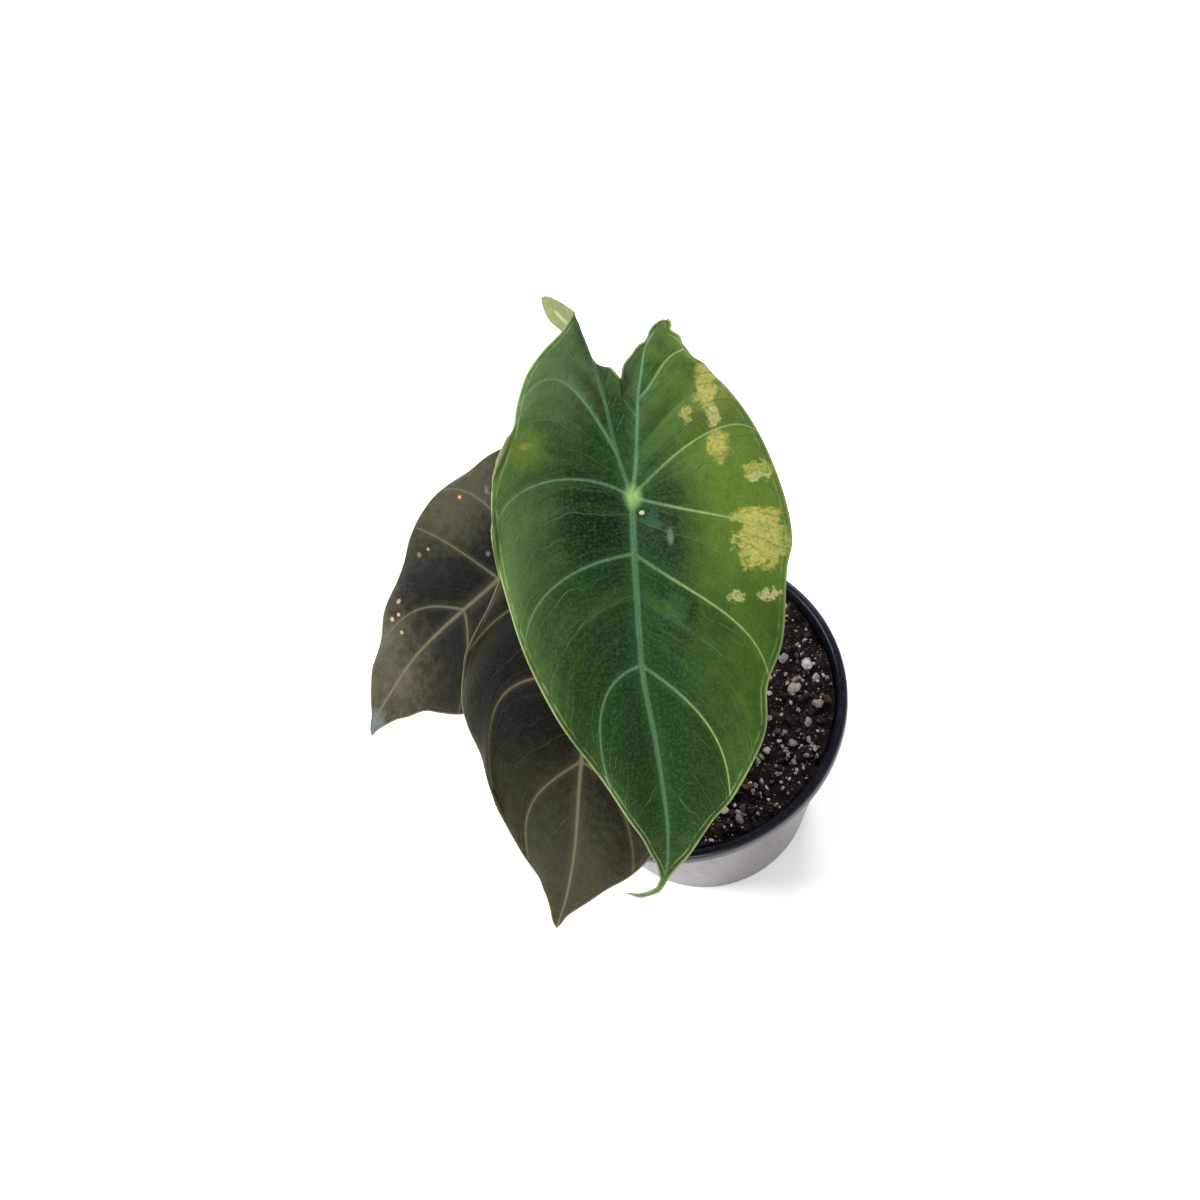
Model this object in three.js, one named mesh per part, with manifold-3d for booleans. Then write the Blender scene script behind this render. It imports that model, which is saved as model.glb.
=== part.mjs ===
// Potted alocasia with three arrow-shaped leaves in a round nursery pot.
// Millimetres, +Z up, origin at the centre of the flat pot base. The largest leaf points towards -Y.
import * as THREE from 'three';
import Module from 'manifold-3d';

const wasm = await Module();
wasm.setup();

// Driving dimensions
const POT_HEIGHT = 89;
const LIP_RADIUS = 54.5;
const LIP_SKIRT = 5.4;
const LIP_WIDE = 3.5;
const BASE_RADIUS = 39;
const WALL = 1.4;
const FLOOR = 1.8;
const ROUND = 48;
const DRAIN_RADIUS = 4;
const DRAIN_CIRCLE = 25;
const SOIL_LEVEL = 85.3;
const SOIL_GAP = 0.35;
const STEM_GAP = 0.35;
const BLADE_THICK = 0.75;
const MIDRIB_DEEP = 1.5;
const RIB_DEEP = 0.7;

// Leaf shapes lie flat in (across, along) with the stem at 0,0 and the tip at +along.
// A rib row is: place on the spine (1 tip, 0 stem, -1 lobe end), place on the margin (0 tip, 1 lobe end),
// slide and bow of the two control points of its curve as shares of its length, and 1 for a raised rib.
const MAIN = {
  stem: [6.3, 18.1, 175], yaw: 18, pitch: 26, bank: 0,
  arch: 0.0014, back: 0.0022, channel: 0.3, droop: 0.006, wave: 1.3, puff: 1.1, phase: 0.1,
  midrib: [[0, 0], [-0.8, 17], [-1.7, 46], [-0.3, 66], [0.4, 86], [0, 93], [-0.9, 99.5], [-2.6, 104.3],
      [-5, 107.3], [-8.5, 108.5], [-13.3, 107.5]],
  sinus: [-0.6, -33.2],
  sides: [
    {
      margin: [[-13.3, 107.5], [-9.6, 108], [-5.6, 107], [-4.2, 105.3], [-3.7, 103.8], [-4.2, 100.1],
          [-5.5, 96.8], [-7.2, 92.2], [-10, 87.2], [-16.4, 75.2], [-26.5, 56.5], [-33, 39.6],
          [-38, 18.7], [-38.5, -0.5], [-36.7, -9], [-31.2, -20.3], [-29.6, -29.2], [-26.6, -36.9],
          [-21.3, -43], [-15.8, -48.1], [-13.4, -51.6], [-10.7, -55.6], [-9.3, -60.6], [-7.4, -65.4],
          [-5.8, -66.7]],
      lobe: [[0, 0], [-3, -12.6], [-5.2, -27], [-7.4, -39], [-7.6, -50], [-6.8, -59], [-5.8, -66.7]],
      inner: [[-0.6, -33.2], [-3, -37], [-4.4, -41], [-5, -46], [-4.3, -54.2], [-3.5, -59],
          [-4.4, -63.8], [-5.8, -66.7]],
      rows: [[1, 0, 0.33, 0, 0.67, 0, 0], [0.93, 0.041, 0.33, 0, 0.67, 0, 0],
          [0.89, 0.063, 0.33, 0, 0.67, 0, 0], [0.82, 0.097, 0.33, 0, 0.67, 0, 0],
          [0.386, 0.189, 0.2, 0.36, 0.67, 0.19, 1], [0.13, 0.412, 0.36, 0.24, 0.75, 0.3, 1],
          [0, 0.557, 0.25, 0.38, 0.91, 0.48, 1], [-0.18, 0.76, 0.55, 0.41, 0.95, 0.66, 1],
          [-0.36, 0.84, 0.5, 0.3, 0.85, 0.25, 0.1], [-1, 1, 0.33, 0, 0.67, 0, 0]],
    },
    {
      margin: [[-13.3, 107.5], [-10.1, 109.1], [-7.8, 109], [-4.6, 108.2], [-3.3, 107.1], [-1.9, 105.3],
          [-0.6, 103.6], [2.5, 100.6], [5.7, 97.5], [12.8, 88.8], [19.5, 81.9], [29.1, 66.4],
          [31.2, 53.3], [36.2, 41.8], [39.1, 23.6], [41.2, 16], [40.5, 5.4], [37.1, -8.2],
          [33.2, -17.9], [28.3, -25.9], [25.1, -29.9], [21.8, -34.8], [19, -39.8], [16.6, -42.6],
          [14.4, -44.6], [14.7, -46.4], [13.9, -48]],
      lobe: [[0, 0], [1.8, -8], [3, -18], [4, -27.4], [5, -32], [6, -37], [6.9, -41], [8.6, -43.6],
          [10.4, -45.6], [12.2, -46.9], [13.9, -48]],
      inner: [[-0.6, -33.2], [-0.1, -36.5], [1, -38.4], [2.6, -39.9], [4.3, -42.1], [5.6, -42.8],
          [6.7, -43.2], [7.6, -44.6], [8.2, -46.2], [9.9, -47.8], [12, -48.6], [13.9, -48]],
      rows: [[1, 0, 0.33, 0, 0.67, 0, 0], [0.93, 0.047, 0.33, 0, 0.67, 0, 0],
          [0.89, 0.077, 0.33, 0, 0.67, 0, 0], [0.82, 0.136, 0.33, 0, 0.67, 0, 0],
          [0.386, 0.227, 0.4, 0.18, 0.67, 0.22, 1], [0.13, 0.417, 0.41, 0.05, 0.74, 0.21, 1],
          [0, 0.628, 0.39, -0.02, 0.69, 0.02, 1], [0, 0.777, 0.2, 0.08, 0.9, 0.32, 1],
          [-0.258, 0.86, 0.35, 0.05, 0.7, 0.25, 0.1], [-0.516, 0.937, 0.4, -0.02, 0.6, 0.28, 1],
          [-1, 1, 0.33, 0, 0.67, 0, 0]],
    },
  ],
  fold: { start: [-13.2, -53], end: [-9.2, -39.3], radius: 1.4, turn: 165 },
  curl: { side: 1, start: 0.885, stop: 0.975, width: 3.2, radius: 1.3, turn: 150 },
  tuck: 1.8,
};

const FRONT = {
  stem: [-13.8, 8.1, 140], yaw: 36, pitch: 35, bank: 0,
  arch: 0.0014, back: 0.0022, channel: 0.25, droop: 0.0065, wave: 1.4, puff: 1.2, phase: 0.3,
  midrib: [[0, 0], [0.4, 22], [0.4, 45], [0.5, 55.4], [0.7, 65], [0.6, 74.9], [-0.2, 84.5],
      [-1.4, 93.2], [-3.9, 103.8]],
  sinus: [0, -19],
  sides: [
    {
      margin: [[-3.9, 103.8], [-5.3, 101.3], [-7, 94.6], [-10.6, 87.5], [-17.2, 78.8], [-22, 71.9],
          [-25.8, 62.9], [-28.9, 57], [-32.2, 51], [-36.5, 45.4], [-39.8, 39.7], [-41.4, 35.3],
          [-42, 29.8], [-40.7, 21.9], [-38.5, 15], [-35.4, 6.1], [-33.2, -0.6], [-29.5, -14],
          [-24.5, -28], [-17.7, -40.5], [-11, -50]],
      lobe: [[0, 0], [-3, -12], [-6.5, -26], [-9.5, -40], [-11, -50]],
      inner: [[0, -19], [-3.4, -27], [-6, -39], [-11, -50]],
      rows: [[1, 0, 0.33, 0, 0.67, 0, 0], [0.88, 0.08, 0.33, 0, 0.67, 0, 0],
          [0.43, 0.135, 0.42, 0.23, 0.6, 0.26, 1], [0.17, 0.273, 0.36, 0.45, 0.58, 0.42, 1],
          [0, 0.55, 0.23, 0.29, 0.57, 0.29, 1], [-0.22, 0.76, 0.4, 0.5, 0.73, 0.5, 1],
          [-0.4, 0.86, 0.5, 0.33, 0.83, 0.33, 0], [-1, 1, 0.33, 0, 0.67, 0, 0]],
    },
    {
      margin: [[-3.9, 103.8], [-2.4, 101.6], [-0.1, 97.7], [6.6, 90.6], [12.1, 84.6], [19.2, 77.9],
          [25.2, 69.2], [32.5, 55], [38.3, 39.5], [40.3, 26], [39.4, 10], [36.5, -6], [30.5, -22],
          [24.5, -34], [17.7, -44], [10, -52]],
      lobe: [[0, 0], [3, -12], [6.5, -26], [9, -41], [10, -52]],
      inner: [[0, -19], [3.4, -27], [5.8, -39], [10, -52]],
      rows: [[1, 0, 0.33, 0, 0.67, 0, 0], [0.88, 0.09, 0.33, 0, 0.67, 0, 0],
          [0.43, 0.199, 0.27, 0.28, 0.77, 0.17, 1], [0.17, 0.37, 0.23, 0.23, 0.57, 0.23, 1],
          [0, 0.56, 0.24, 0.27, 0.57, 0.27, 1], [-0.22, 0.76, 0.39, 0.47, 0.72, 0.47, 1],
          [-0.4, 0.86, 0.5, 0.27, 0.83, 0.27, 0], [-1, 1, 0.33, 0, 0.67, 0, 0]],
    },
  ],
};

const LEFT = {
  stem: [-29.6, 58.3, 108], yaw: 72, pitch: 18, bank: -6,
  arch: 0.0014, back: 0.0022, channel: 0.25, droop: 0.0065, wave: 1.2, puff: 1, phase: 0.6,
  midrib: [[0, 0], [-0.8, 11.1], [-1.6, 20], [-2.7, 28.2], [-3.9, 37.8], [-4.8, 47.8], [-4.9, 56],
      [-3.9, 65.1], [-2.9, 73.5], [-1.6, 80], [0.6, 84.6]],
  sinus: [0, -20],
  sides: [
    {
      margin: [[0.6, 84.6], [-1.8, 82.9], [-4.3, 79.4], [-9.4, 74.5], [-13.6, 68.9], [-16.2, 62.7],
          [-19.4, 57.5], [-24.7, 51.6], [-28.6, 45.4], [-31.8, 38.6], [-34.2, 32], [-38.4, 25.1],
          [-41.2, 19.5], [-42.3, 13.3], [-42.5, 6.6], [-42, 0.5], [-40, -6.2], [-37.4, -14.4],
          [-33.6, -22.4], [-27.5, -32], [-18, -41], [-9, -46]],
      lobe: [[0, 0], [-2.5, -10], [-5.5, -22], [-8, -35], [-9, -46]],
      inner: [[0, -20], [-3, -27], [-5, -36], [-9, -46]],
      rows: [[1, 0, 0.33, 0, 0.67, 0, 0], [0.88, 0.09, 0.33, 0, 0.67, 0, 0],
          [0.33, 0.206, 0.42, 0.24, 0.6, 0.22, 1], [0.14, 0.478, 0.25, 0.02, 0.66, 0.06, 1],
          [0, 0.576, 0.37, 0.15, 0.79, 0.23, 1], [-0.25, 0.8, 0.47, 0.37, 0.8, 0.37, 1],
          [-0.45, 0.88, 0.46, 0.27, 0.79, 0.27, 0], [-1, 1, 0.33, 0, 0.67, 0, 0]],
    },
    {
      margin: [[0.6, 84.6], [1.2, 81.1], [2.7, 77.1], [4.6, 72.8], [8, 68.2], [10.7, 63.7], [13, 60.7],
          [16.4, 58.2], [23.5, 51.7], [29.5, 40.5], [34.5, 27], [36.5, 12], [35.5, -4], [31, -19],
          [25, -31], [16.5, -41], [9, -47]],
      lobe: [[0, 0], [2.5, -10], [5.5, -22], [8, -35], [9, -47]],
      inner: [[0, -20], [3, -27], [5, -36], [9, -47]],
      rows: [[1, 0, 0.33, 0, 0.67, 0, 0], [0.88, 0.075, 0.33, 0, 0.67, 0, 0],
          [0.33, 0.26, 0.29, 0.09, 0.62, 0.09, 1], [0.14, 0.44, 0.31, 0.13, 0.64, 0.13, 1],
          [0, 0.6, 0.33, 0.23, 0.67, 0.23, 1], [-0.25, 0.8, 0.47, 0.37, 0.8, 0.37, 1],
          [-0.45, 0.88, 0.5, 0.27, 0.83, 0.27, 0], [-1, 1, 0.33, 0, 0.67, 0, 0]],
    },
  ],
};

// Stem routes from inside the soil hole up to just below the blade; radii from foot to top.
const STEMS = {
  main: {
    leaf: MAIN, foot: [2, 24], radii: [3.9, 2.0],
    route: [[1.5, 28, 108], [3, 33.5, 143], [4.8, 29, 161]],
  },
  front: {
    leaf: FRONT, foot: [-3.5, 15.5], radii: [3.6, 1.9],
    route: [[-4.5, 19.5, 100], [-9, 18, 125]],
  },
  left: {
    leaf: LEFT, foot: [-7, 26], radii: [3.4, 1.8],
    route: [[-8.6, 30, 92], [-14, 39, 98], [-22, 49.5, 102.5]],
  },
};

// Small helpers
function smooth(x) {
  const t = Math.min(1, Math.max(0, x));
  return t * t * (3 - 2 * t);
}

function randomSource(seed) {
  let state = seed;
  return () => {
    state = (state * 1664525 + 1013904223) % 4294967296;
    return state / 4294967296;
  };
}

// Smooth curve through the given points; returns the point at a share of its length.
function curve(points) {
  const dim = points[0].length;
  const n = points.length;
  const before = points[0].map((v, k) => 2 * v - points[1][k]);
  const after = points[n - 1].map((v, k) => 2 * v - points[n - 2][k]);
  const p = [before, ...points, after];
  const dense = [];
  for (let i = 1; i < p.length - 2; i++) {
    for (let step = 0; step < 12; step++) {
      const t = step / 12;
      dense.push(p[i].map((v, k) => 0.5 * (2 * v + (p[i + 1][k] - p[i - 1][k]) * t
        + (2 * p[i - 1][k] - 5 * v + 4 * p[i + 1][k] - p[i + 2][k]) * t * t
        + (3 * v - p[i - 1][k] - 3 * p[i + 1][k] + p[i + 2][k]) * t * t * t)));
    }
  }
  dense.push(points[n - 1]);
  const run = [0];
  for (let i = 1; i < dense.length; i++) {
    run.push(run[i - 1] + Math.hypot(...dense[i].map((v, k) => v - dense[i - 1][k])));
  }
  return (share) => {
    const want = Math.min(1, Math.max(0, share)) * run[run.length - 1];
    let i = 1;
    while (i < run.length - 1 && run[i] < want) i++;
    const t = (want - run[i - 1]) / (run[i] - run[i - 1]);
    return Array.from({ length: dim }, (_, k) => dense[i - 1][k] * (1 - t) + dense[i][k] * t);
  };
}

// A strip bent round a roller: distance d past the start becomes forward travel and depth.
function bend(d, radius, degrees) {
  const turn = degrees * Math.PI / 180;
  if (d < radius * turn) {
    return [radius * Math.sin(d / radius), radius * (1 - Math.cos(d / radius))];
  }
  const rest = d - radius * turn;
  return [
    radius * Math.sin(turn) + rest * Math.cos(turn),
    radius * (1 - Math.cos(turn)) + rest * Math.sin(turn),
  ];
}

// Placing of a leaf in space: stem point and the across, along and upward directions
function leafFrame(leaf) {
  const [yaw, pitch, bank] = [leaf.yaw, leaf.pitch, leaf.bank].map((v) => v * Math.PI / 180);
  const along = new THREE.Vector3(
    -Math.sin(yaw) * Math.cos(pitch), -Math.cos(yaw) * Math.cos(pitch), -Math.sin(pitch));
  const level = new THREE.Vector3(Math.cos(yaw), -Math.sin(yaw), 0);
  const up = new THREE.Vector3().crossVectors(along, level);
  const across = level.multiplyScalar(Math.cos(bank)).addScaledVector(up, Math.sin(bank));
  const normal = new THREE.Vector3().crossVectors(along, across);
  return { origin: new THREE.Vector3(...leaf.stem), across, along, normal };
}

// Height of the blade surface over its own flat plane
function bladeHeight(leaf, c, a, t, between, edge, rowLength) {
  let h = -(a > 0 ? leaf.arch : leaf.back) * a * a;
  h += leaf.channel * (Math.sqrt(c * c + 25) - 5) - leaf.droop * c * c;
  const full = smooth(rowLength / 25);
  const ripple = Math.sin(2 * Math.PI * (3.3 * edge + leaf.phase))
    + 0.5 * Math.sin(2 * Math.PI * (7.1 * edge + 0.2));
  h += leaf.wave * full * t * t * t * ripple;
  h += leaf.puff * full * Math.sin(Math.PI * between) * Math.pow(4 * t * (1 - t), 0.7);
  return h;
}

// Rolls the right-hand margin up over the blade near its lobe
function applyCurl(leaf, sideIndex, spot, edge, toEdge, outward) {
  const curl = leaf.curl;
  if (!curl || curl.side !== sideIndex) return;
  const width = curl.width * smooth((edge - curl.start) / 0.04) * smooth((curl.stop - edge) / 0.03);
  if (toEdge >= width) return;
  const d = width - toEdge;
  const [forward, rise] = bend(d, curl.radius, curl.turn);
  spot.c += outward[0] * (forward - d);
  spot.a += outward[1] * (forward - d);
  spot.h += rise;
}

// Folds the inner edge of the left-hand lobe down and back under itself
function applyFold(leaf, sideIndex, spot) {
  const fold = leaf.fold;
  if (!fold || sideIndex !== 0 || spot.a > -25) return;
  const run = [fold.end[0] - fold.start[0], fold.end[1] - fold.start[1]];
  const length = Math.hypot(...run);
  const u = [run[0] / length, run[1] / length];
  const rel = [spot.c - fold.start[0], spot.a - fold.start[1]];
  const d = rel[0] * u[1] - rel[1] * u[0];
  const share = 1 - smooth((rel[0] * u[0] + rel[1] * u[1] - length + 1) / 6.5);
  if (d <= 0 || share <= 0) return;
  const [forward, drop] = bend(d, fold.radius / Math.max(share, 0.15), fold.turn * share);
  spot.c += u[1] * (forward - d);
  spot.a -= u[0] * (forward - d);
  spot.h -= drop;
}

// Rows of one half of the blade, each with its place, curve and rib mark
function halfRows(side, between) {
  const rows = [];
  for (let k = 0; k < side.rows.length - 1; k++) {
    const now = side.rows[k];
    const next = side.rows[k + 1];
    let shares = Array.from({ length: between }, (_, i) => i / between);
    if (now[6]) shares.push(0.08);
    if (next[6]) shares.push(0.92);
    shares = shares.sort((x, y) => x - y);
    for (const x of shares) {
      const [spine, edge, ...bows] = now.map((v, i) => v + (next[i] - v) * x);
      rows.push({ spine, edge, bows, rib: x === 0 ? now[6] : 0, between: x });
    }
  }
  rows.push({ spine: -1, edge: 1, bows: [0.33, 0, 0.67, 0], rib: 0, between: 0 });
  return rows;
}

// Upper face of a blade: points, underside depth at each point and triangles
function bladeFace(leaf) {
  const frame = leafFrame(leaf);
  const columns = [0, 0.05, 0.24, 0.5, 0.76, 0.94, 1];
  const innerColumns = 3;
  const points = [];
  const depths = [];
  const triangles = [];
  const known = new Map();
  const put = (sideIndex, c, a, t, row, rowLength, toEdge, outward, depth, lower) => {
    const key = `${Math.round(c * 1000)},${Math.round(a * 1000)}`;
    if (known.has(key)) return known.get(key);
    const spot = { c, a, h: bladeHeight(leaf, c, a, t, row.between, row.edge, rowLength) - lower };
    if (outward) applyCurl(leaf, sideIndex, spot, row.edge, toEdge, outward);
    applyFold(leaf, sideIndex, spot);
    points.push(frame.origin.clone().addScaledVector(frame.across, spot.c)
      .addScaledVector(frame.along, spot.a).addScaledVector(frame.normal, spot.h));
    depths.push(depth);
    known.set(key, points.length - 1);
    return points.length - 1;
  };
  const quad = (a, b, c, d, flip) => {
    for (const tri of [[a, b, c], [a, c, d]]) {
      if (new Set(tri).size === 3) triangles.push(flip ? [tri[0], tri[2], tri[1]] : tri);
    }
  };
  const spineCurve = curve(leaf.midrib);
  leaf.sides.forEach((side, sideIndex) => {
    const margin = curve(side.margin);
    const lobe = curve(side.lobe);
    const inner = curve(side.inner);
    const turn = sideIndex === 0 ? 1 : -1;
    const sinusPlace = side.rows[side.rows.length - 2][0];
    const spineAt = (s) => (s >= 0 ? spineCurve(s) : lobe(-s));
    let previous = null;
    let previousInner = null;
    for (const row of halfRows(side, 4)) {
      const start = spineAt(row.spine);
      const end = margin(row.edge);
      const run = [end[0] - start[0], end[1] - start[1]];
      const length = Math.hypot(...run);
      const [first, second] = [0, 2].map((k) => [
        start[0] + run[0] * row.bows[k] - turn * run[1] * row.bows[k + 1],
        start[1] + run[1] * row.bows[k] + turn * run[0] * row.bows[k + 1],
      ]);
      const e0 = margin(row.edge - 0.004);
      const e1 = margin(row.edge + 0.004);
      let outward = [e0[1] - e1[1], e1[0] - e0[0]];
      const size = Math.hypot(...outward) || 1;
      const sign = outward[0] * run[0] + outward[1] * run[1] < 0 ? -1 : 1;
      outward = outward.map((v) => sign * v / size);
      const spineDepth = MIDRIB_DEEP * (row.spine >= 0 ? 1 - 0.8 * row.spine : 1 + 0.8 * row.spine);
      const line = columns.map((t) => {
        const [c, a] = [0, 1].map((k) => (1 - t) ** 3 * start[k] + 3 * t * (1 - t) ** 2 * first[k]
          + 3 * t * t * (1 - t) * second[k] + t ** 3 * end[k]);
        const toEdge = (end[0] - c) * outward[0] + (end[1] - a) * outward[1];
        const depth = BLADE_THICK + (t === 0 ? spineDepth : RIB_DEEP * row.rib * (1 - t));
        return put(sideIndex, c, a, t, row, length, toEdge, outward, depth, 0);
      });
      if (previous) {
        for (let j = 0; j < columns.length - 1; j++) {
          quad(previous[j], previous[j + 1], line[j + 1], line[j], sideIndex === 0);
        }
      }
      previous = line;
      if (row.spine > 0) continue;
      const reach = row.spine / sinusPlace;
      const rest = (row.spine - sinusPlace) / (-1 - sinusPlace);
      const target = reach <= 1 ? leaf.sinus.map((v) => v * reach) : inner(rest);
      const innerLine = [];
      for (let j = 0; j <= innerColumns; j++) {
        const t = j / innerColumns;
        const c = start[0] * (1 - t) + target[0] * t;
        const a = start[1] * (1 - t) + target[1] * t;
        const lower = sideIndex === 1 ? (leaf.tuck || 0) * smooth(t / 0.4) * smooth((-26 - a) / 8) : 0;
        const inside = { ...row, between: 0 };
        innerLine.push(put(sideIndex, c, a, 0.3 * t, inside, 0, 99, null, BLADE_THICK, lower));
      }
      if (previousInner) {
        for (let j = 0; j < innerColumns; j++) {
          quad(previousInner[j], previousInner[j + 1], innerLine[j + 1], innerLine[j], sideIndex === 1);
        }
      }
      previousInner = innerLine;
    }
  });
  return { points, depths, triangles };
}

// Closed blade: upper face, underside set back along the surface directions, and the rim between
function bladeGeometry(leaf) {
  const { points, depths, triangles } = bladeFace(leaf);
  const normals = points.map(() => new THREE.Vector3());
  for (const [a, b, c] of triangles) {
    const n = new THREE.Vector3().subVectors(points[b], points[a])
      .cross(new THREE.Vector3().subVectors(points[c], points[a]));
    for (const k of [a, b, c]) normals[k].add(n);
  }
  const count = points.length;
  const under = points.map((p, k) => p.clone().addScaledVector(normals[k].normalize(), -depths[k]));
  const faces = [...triangles];
  for (const [a, b, c] of triangles) faces.push([a + count, c + count, b + count]);
  const sides = new Map();
  for (const tri of triangles) {
    for (let i = 0; i < 3; i++) {
      const [a, b] = [tri[i], tri[(i + 1) % 3]];
      if (sides.has(`${b},${a}`)) sides.delete(`${b},${a}`);
      else sides.set(`${a},${b}`, [a, b]);
    }
  }
  for (const [a, b] of sides.values()) {
    faces.push([b, a, a + count], [b, a + count, b + count]);
  }
  return meshGeometry([...points, ...under], faces);
}

function meshGeometry(points, faces) {
  const geometry = new THREE.BufferGeometry();
  const flat = points.flatMap((p) => [p.x, p.y, p.z]);
  geometry.setAttribute('position', new THREE.Float32BufferAttribute(flat, 3));
  geometry.setIndex(faces.flat());
  return geometry;
}

// Leaf stem: a round section swept along its route, with a shallow groove where it sheathes the crown
function stemGeometry(stem) {
  const frame = leafFrame(stem.leaf);
  const drop = BLADE_THICK + MIDRIB_DEEP + STEM_GAP;
  const top = frame.origin.clone().addScaledVector(frame.normal, -drop);
  const [x, y] = stem.foot;
  const route = curve([[x, y, 72], [x, y, SOIL_LEVEL + 2.5], ...stem.route, [top.x, top.y, top.z]]);
  const [rings, around] = [13, 12];
  const points = [];
  const faces = [];
  for (let i = 0; i <= rings; i++) {
    const share = i / rings;
    const centre = new THREE.Vector3(...route(share));
    const travel = new THREE.Vector3(...route(share + 0.01)).sub(new THREE.Vector3(...route(share - 0.01)));
    const up = i === 0 ? new THREE.Vector3(0, 0, 1) : travel.normalize();
    up.lerp(frame.normal, smooth((share - 0.75) / 0.25)).normalize();
    const first = new THREE.Vector3(1, 0, 0).addScaledVector(up, -up.x).normalize();
    const second = new THREE.Vector3().crossVectors(up, first);
    const radius = stem.radii[1] + (stem.radii[0] - stem.radii[1]) * (1 - share) ** 2;
    for (let j = 0; j < around; j++) {
      const angle = 2 * Math.PI * j / around;
      const groove = j === 0 ? 0.25 * smooth(share / 0.2) * (1 - smooth((share - 0.25) / 0.3)) : 0;
      const r = radius * (1 - groove);
      points.push(centre.clone().addScaledVector(first, r * Math.cos(angle))
        .addScaledVector(second, r * Math.sin(angle)));
    }
  }
  for (let i = 0; i < rings; i++) {
    for (let j = 0; j < around; j++) {
      const [a, b] = [i * around + j, i * around + (j + 1) % around];
      faces.push([a, b, b + around], [a, b + around, a + around]);
    }
  }
  const last = rings * around;
  for (let j = 1; j < around - 1; j++) {
    faces.push([0, j + 1, j], [last, last + j, last + j + 1]);
  }
  return meshGeometry(points, faces);
}

// Solids of revolution from a closed outline of radius and height that starts and ends on the axis
function turned(outline, segments) {
  const profile = outline.map(([r, z]) => new THREE.Vector2(r, z));
  const geometry = new THREE.LatheGeometry(profile, segments);
  geometry.rotateX(Math.PI / 2);
  return geometry;
}

function solidFrom(geometry) {
  const position = geometry.getAttribute('position');
  const index = geometry.getIndex();
  const known = new Map();
  const vertices = [];
  const remap = [];
  for (let i = 0; i < position.count; i++) {
    const p = [position.getX(i), position.getY(i), position.getZ(i)];
    const key = p.map((v) => Math.round(v * 1000)).join();
    if (!known.has(key)) {
      known.set(key, vertices.length / 3);
      vertices.push(...p);
    }
    remap.push(known.get(key));
  }
  const order = index ? Array.from(index.array) : Array.from({ length: position.count }, (_, i) => i);
  const tris = [];
  for (let i = 0; i < order.length; i += 3) {
    const tri = [remap[order[i]], remap[order[i + 1]], remap[order[i + 2]]];
    if (new Set(tri).size === 3) tris.push(...tri);
  }
  const mesh = new wasm.Mesh({
    numProp: 3,
    vertProperties: new Float32Array(vertices),
    triVerts: new Uint32Array(tris),
  });
  return new wasm.Manifold(mesh);
}

function geometryFrom(solid) {
  const mesh = solid.getMesh();
  const geometry = new THREE.BufferGeometry();
  geometry.setAttribute('position', new THREE.Float32BufferAttribute(mesh.vertProperties, 3));
  geometry.setIndex(Array.from(mesh.triVerts));
  return geometry;
}

function cylinderAt(x, y, z0, z1, radius, segments) {
  const geometry = new THREE.CylinderGeometry(radius, radius, z1 - z0, segments);
  geometry.rotateX(Math.PI / 2);
  geometry.translate(x, y, (z0 + z1) / 2);
  return solidFrom(geometry);
}

const innerFoot = BASE_RADIUS - WALL;
const innerTop = LIP_RADIUS - LIP_WIDE;
function innerRadius(z) {
  return innerFoot + (innerTop - innerFoot) * (z - FLOOR) / (POT_HEIGHT - 3 - FLOOR);
}

// Thin tapered pot with a hanging lip and drain holes round the middle of its floor
function potGeometry() {
  const skirt = POT_HEIGHT - LIP_SKIRT;
  const outline = [
    [0, 0],
    [BASE_RADIUS - 0.8, 0],
    [BASE_RADIUS, 0.8],
    [innerTop + WALL, POT_HEIGHT - 3.6],
    [LIP_RADIUS - 2.2, POT_HEIGHT - 2.2],
    [LIP_RADIUS - 1.3, POT_HEIGHT - 3],
    [LIP_RADIUS - 1.1, skirt],
    [LIP_RADIUS - 0.2, skirt],
    [LIP_RADIUS, skirt + 0.4],
    [LIP_RADIUS, POT_HEIGHT - 1.4],
    [LIP_RADIUS - 0.4, POT_HEIGHT - 0.5],
    [LIP_RADIUS - 1.4, POT_HEIGHT],
    [LIP_RADIUS - 2.5, POT_HEIGHT - 0.3],
    [innerTop + 0.3, POT_HEIGHT - 1.4],
    [innerTop, POT_HEIGHT - 3],
    [innerRadius(FLOOR + 2), FLOOR + 2],
    [innerFoot - 1.6, FLOOR],
    [0, FLOOR],
  ];
  let pot = solidFrom(turned(outline, ROUND));
  for (let i = 0; i < 6; i++) {
    const angle = (i + 0.5) * Math.PI / 3;
    const [x, y] = [DRAIN_CIRCLE * Math.cos(angle), DRAIN_CIRCLE * Math.sin(angle)];
    pot = pot.subtract(cylinderAt(x, y, -1, FLOOR + 1, DRAIN_RADIUS, 16));
  }
  return geometryFrom(pot);
}

function soilTop(x, y) {
  const mound = 1.0 * Math.exp(-(x * x + (y - 20) ** 2) / 500);
  const lumps = 0.7 * Math.sin(x * 0.31 + 1.3) * Math.sin(y * 0.27 + 0.4)
    + 0.45 * Math.sin(x * 0.73 - y * 0.51) + 0.35 * Math.sin(y * 0.95 + x * 0.42 + 2);
  return SOIL_LEVEL + mound + lumps;
}

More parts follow.
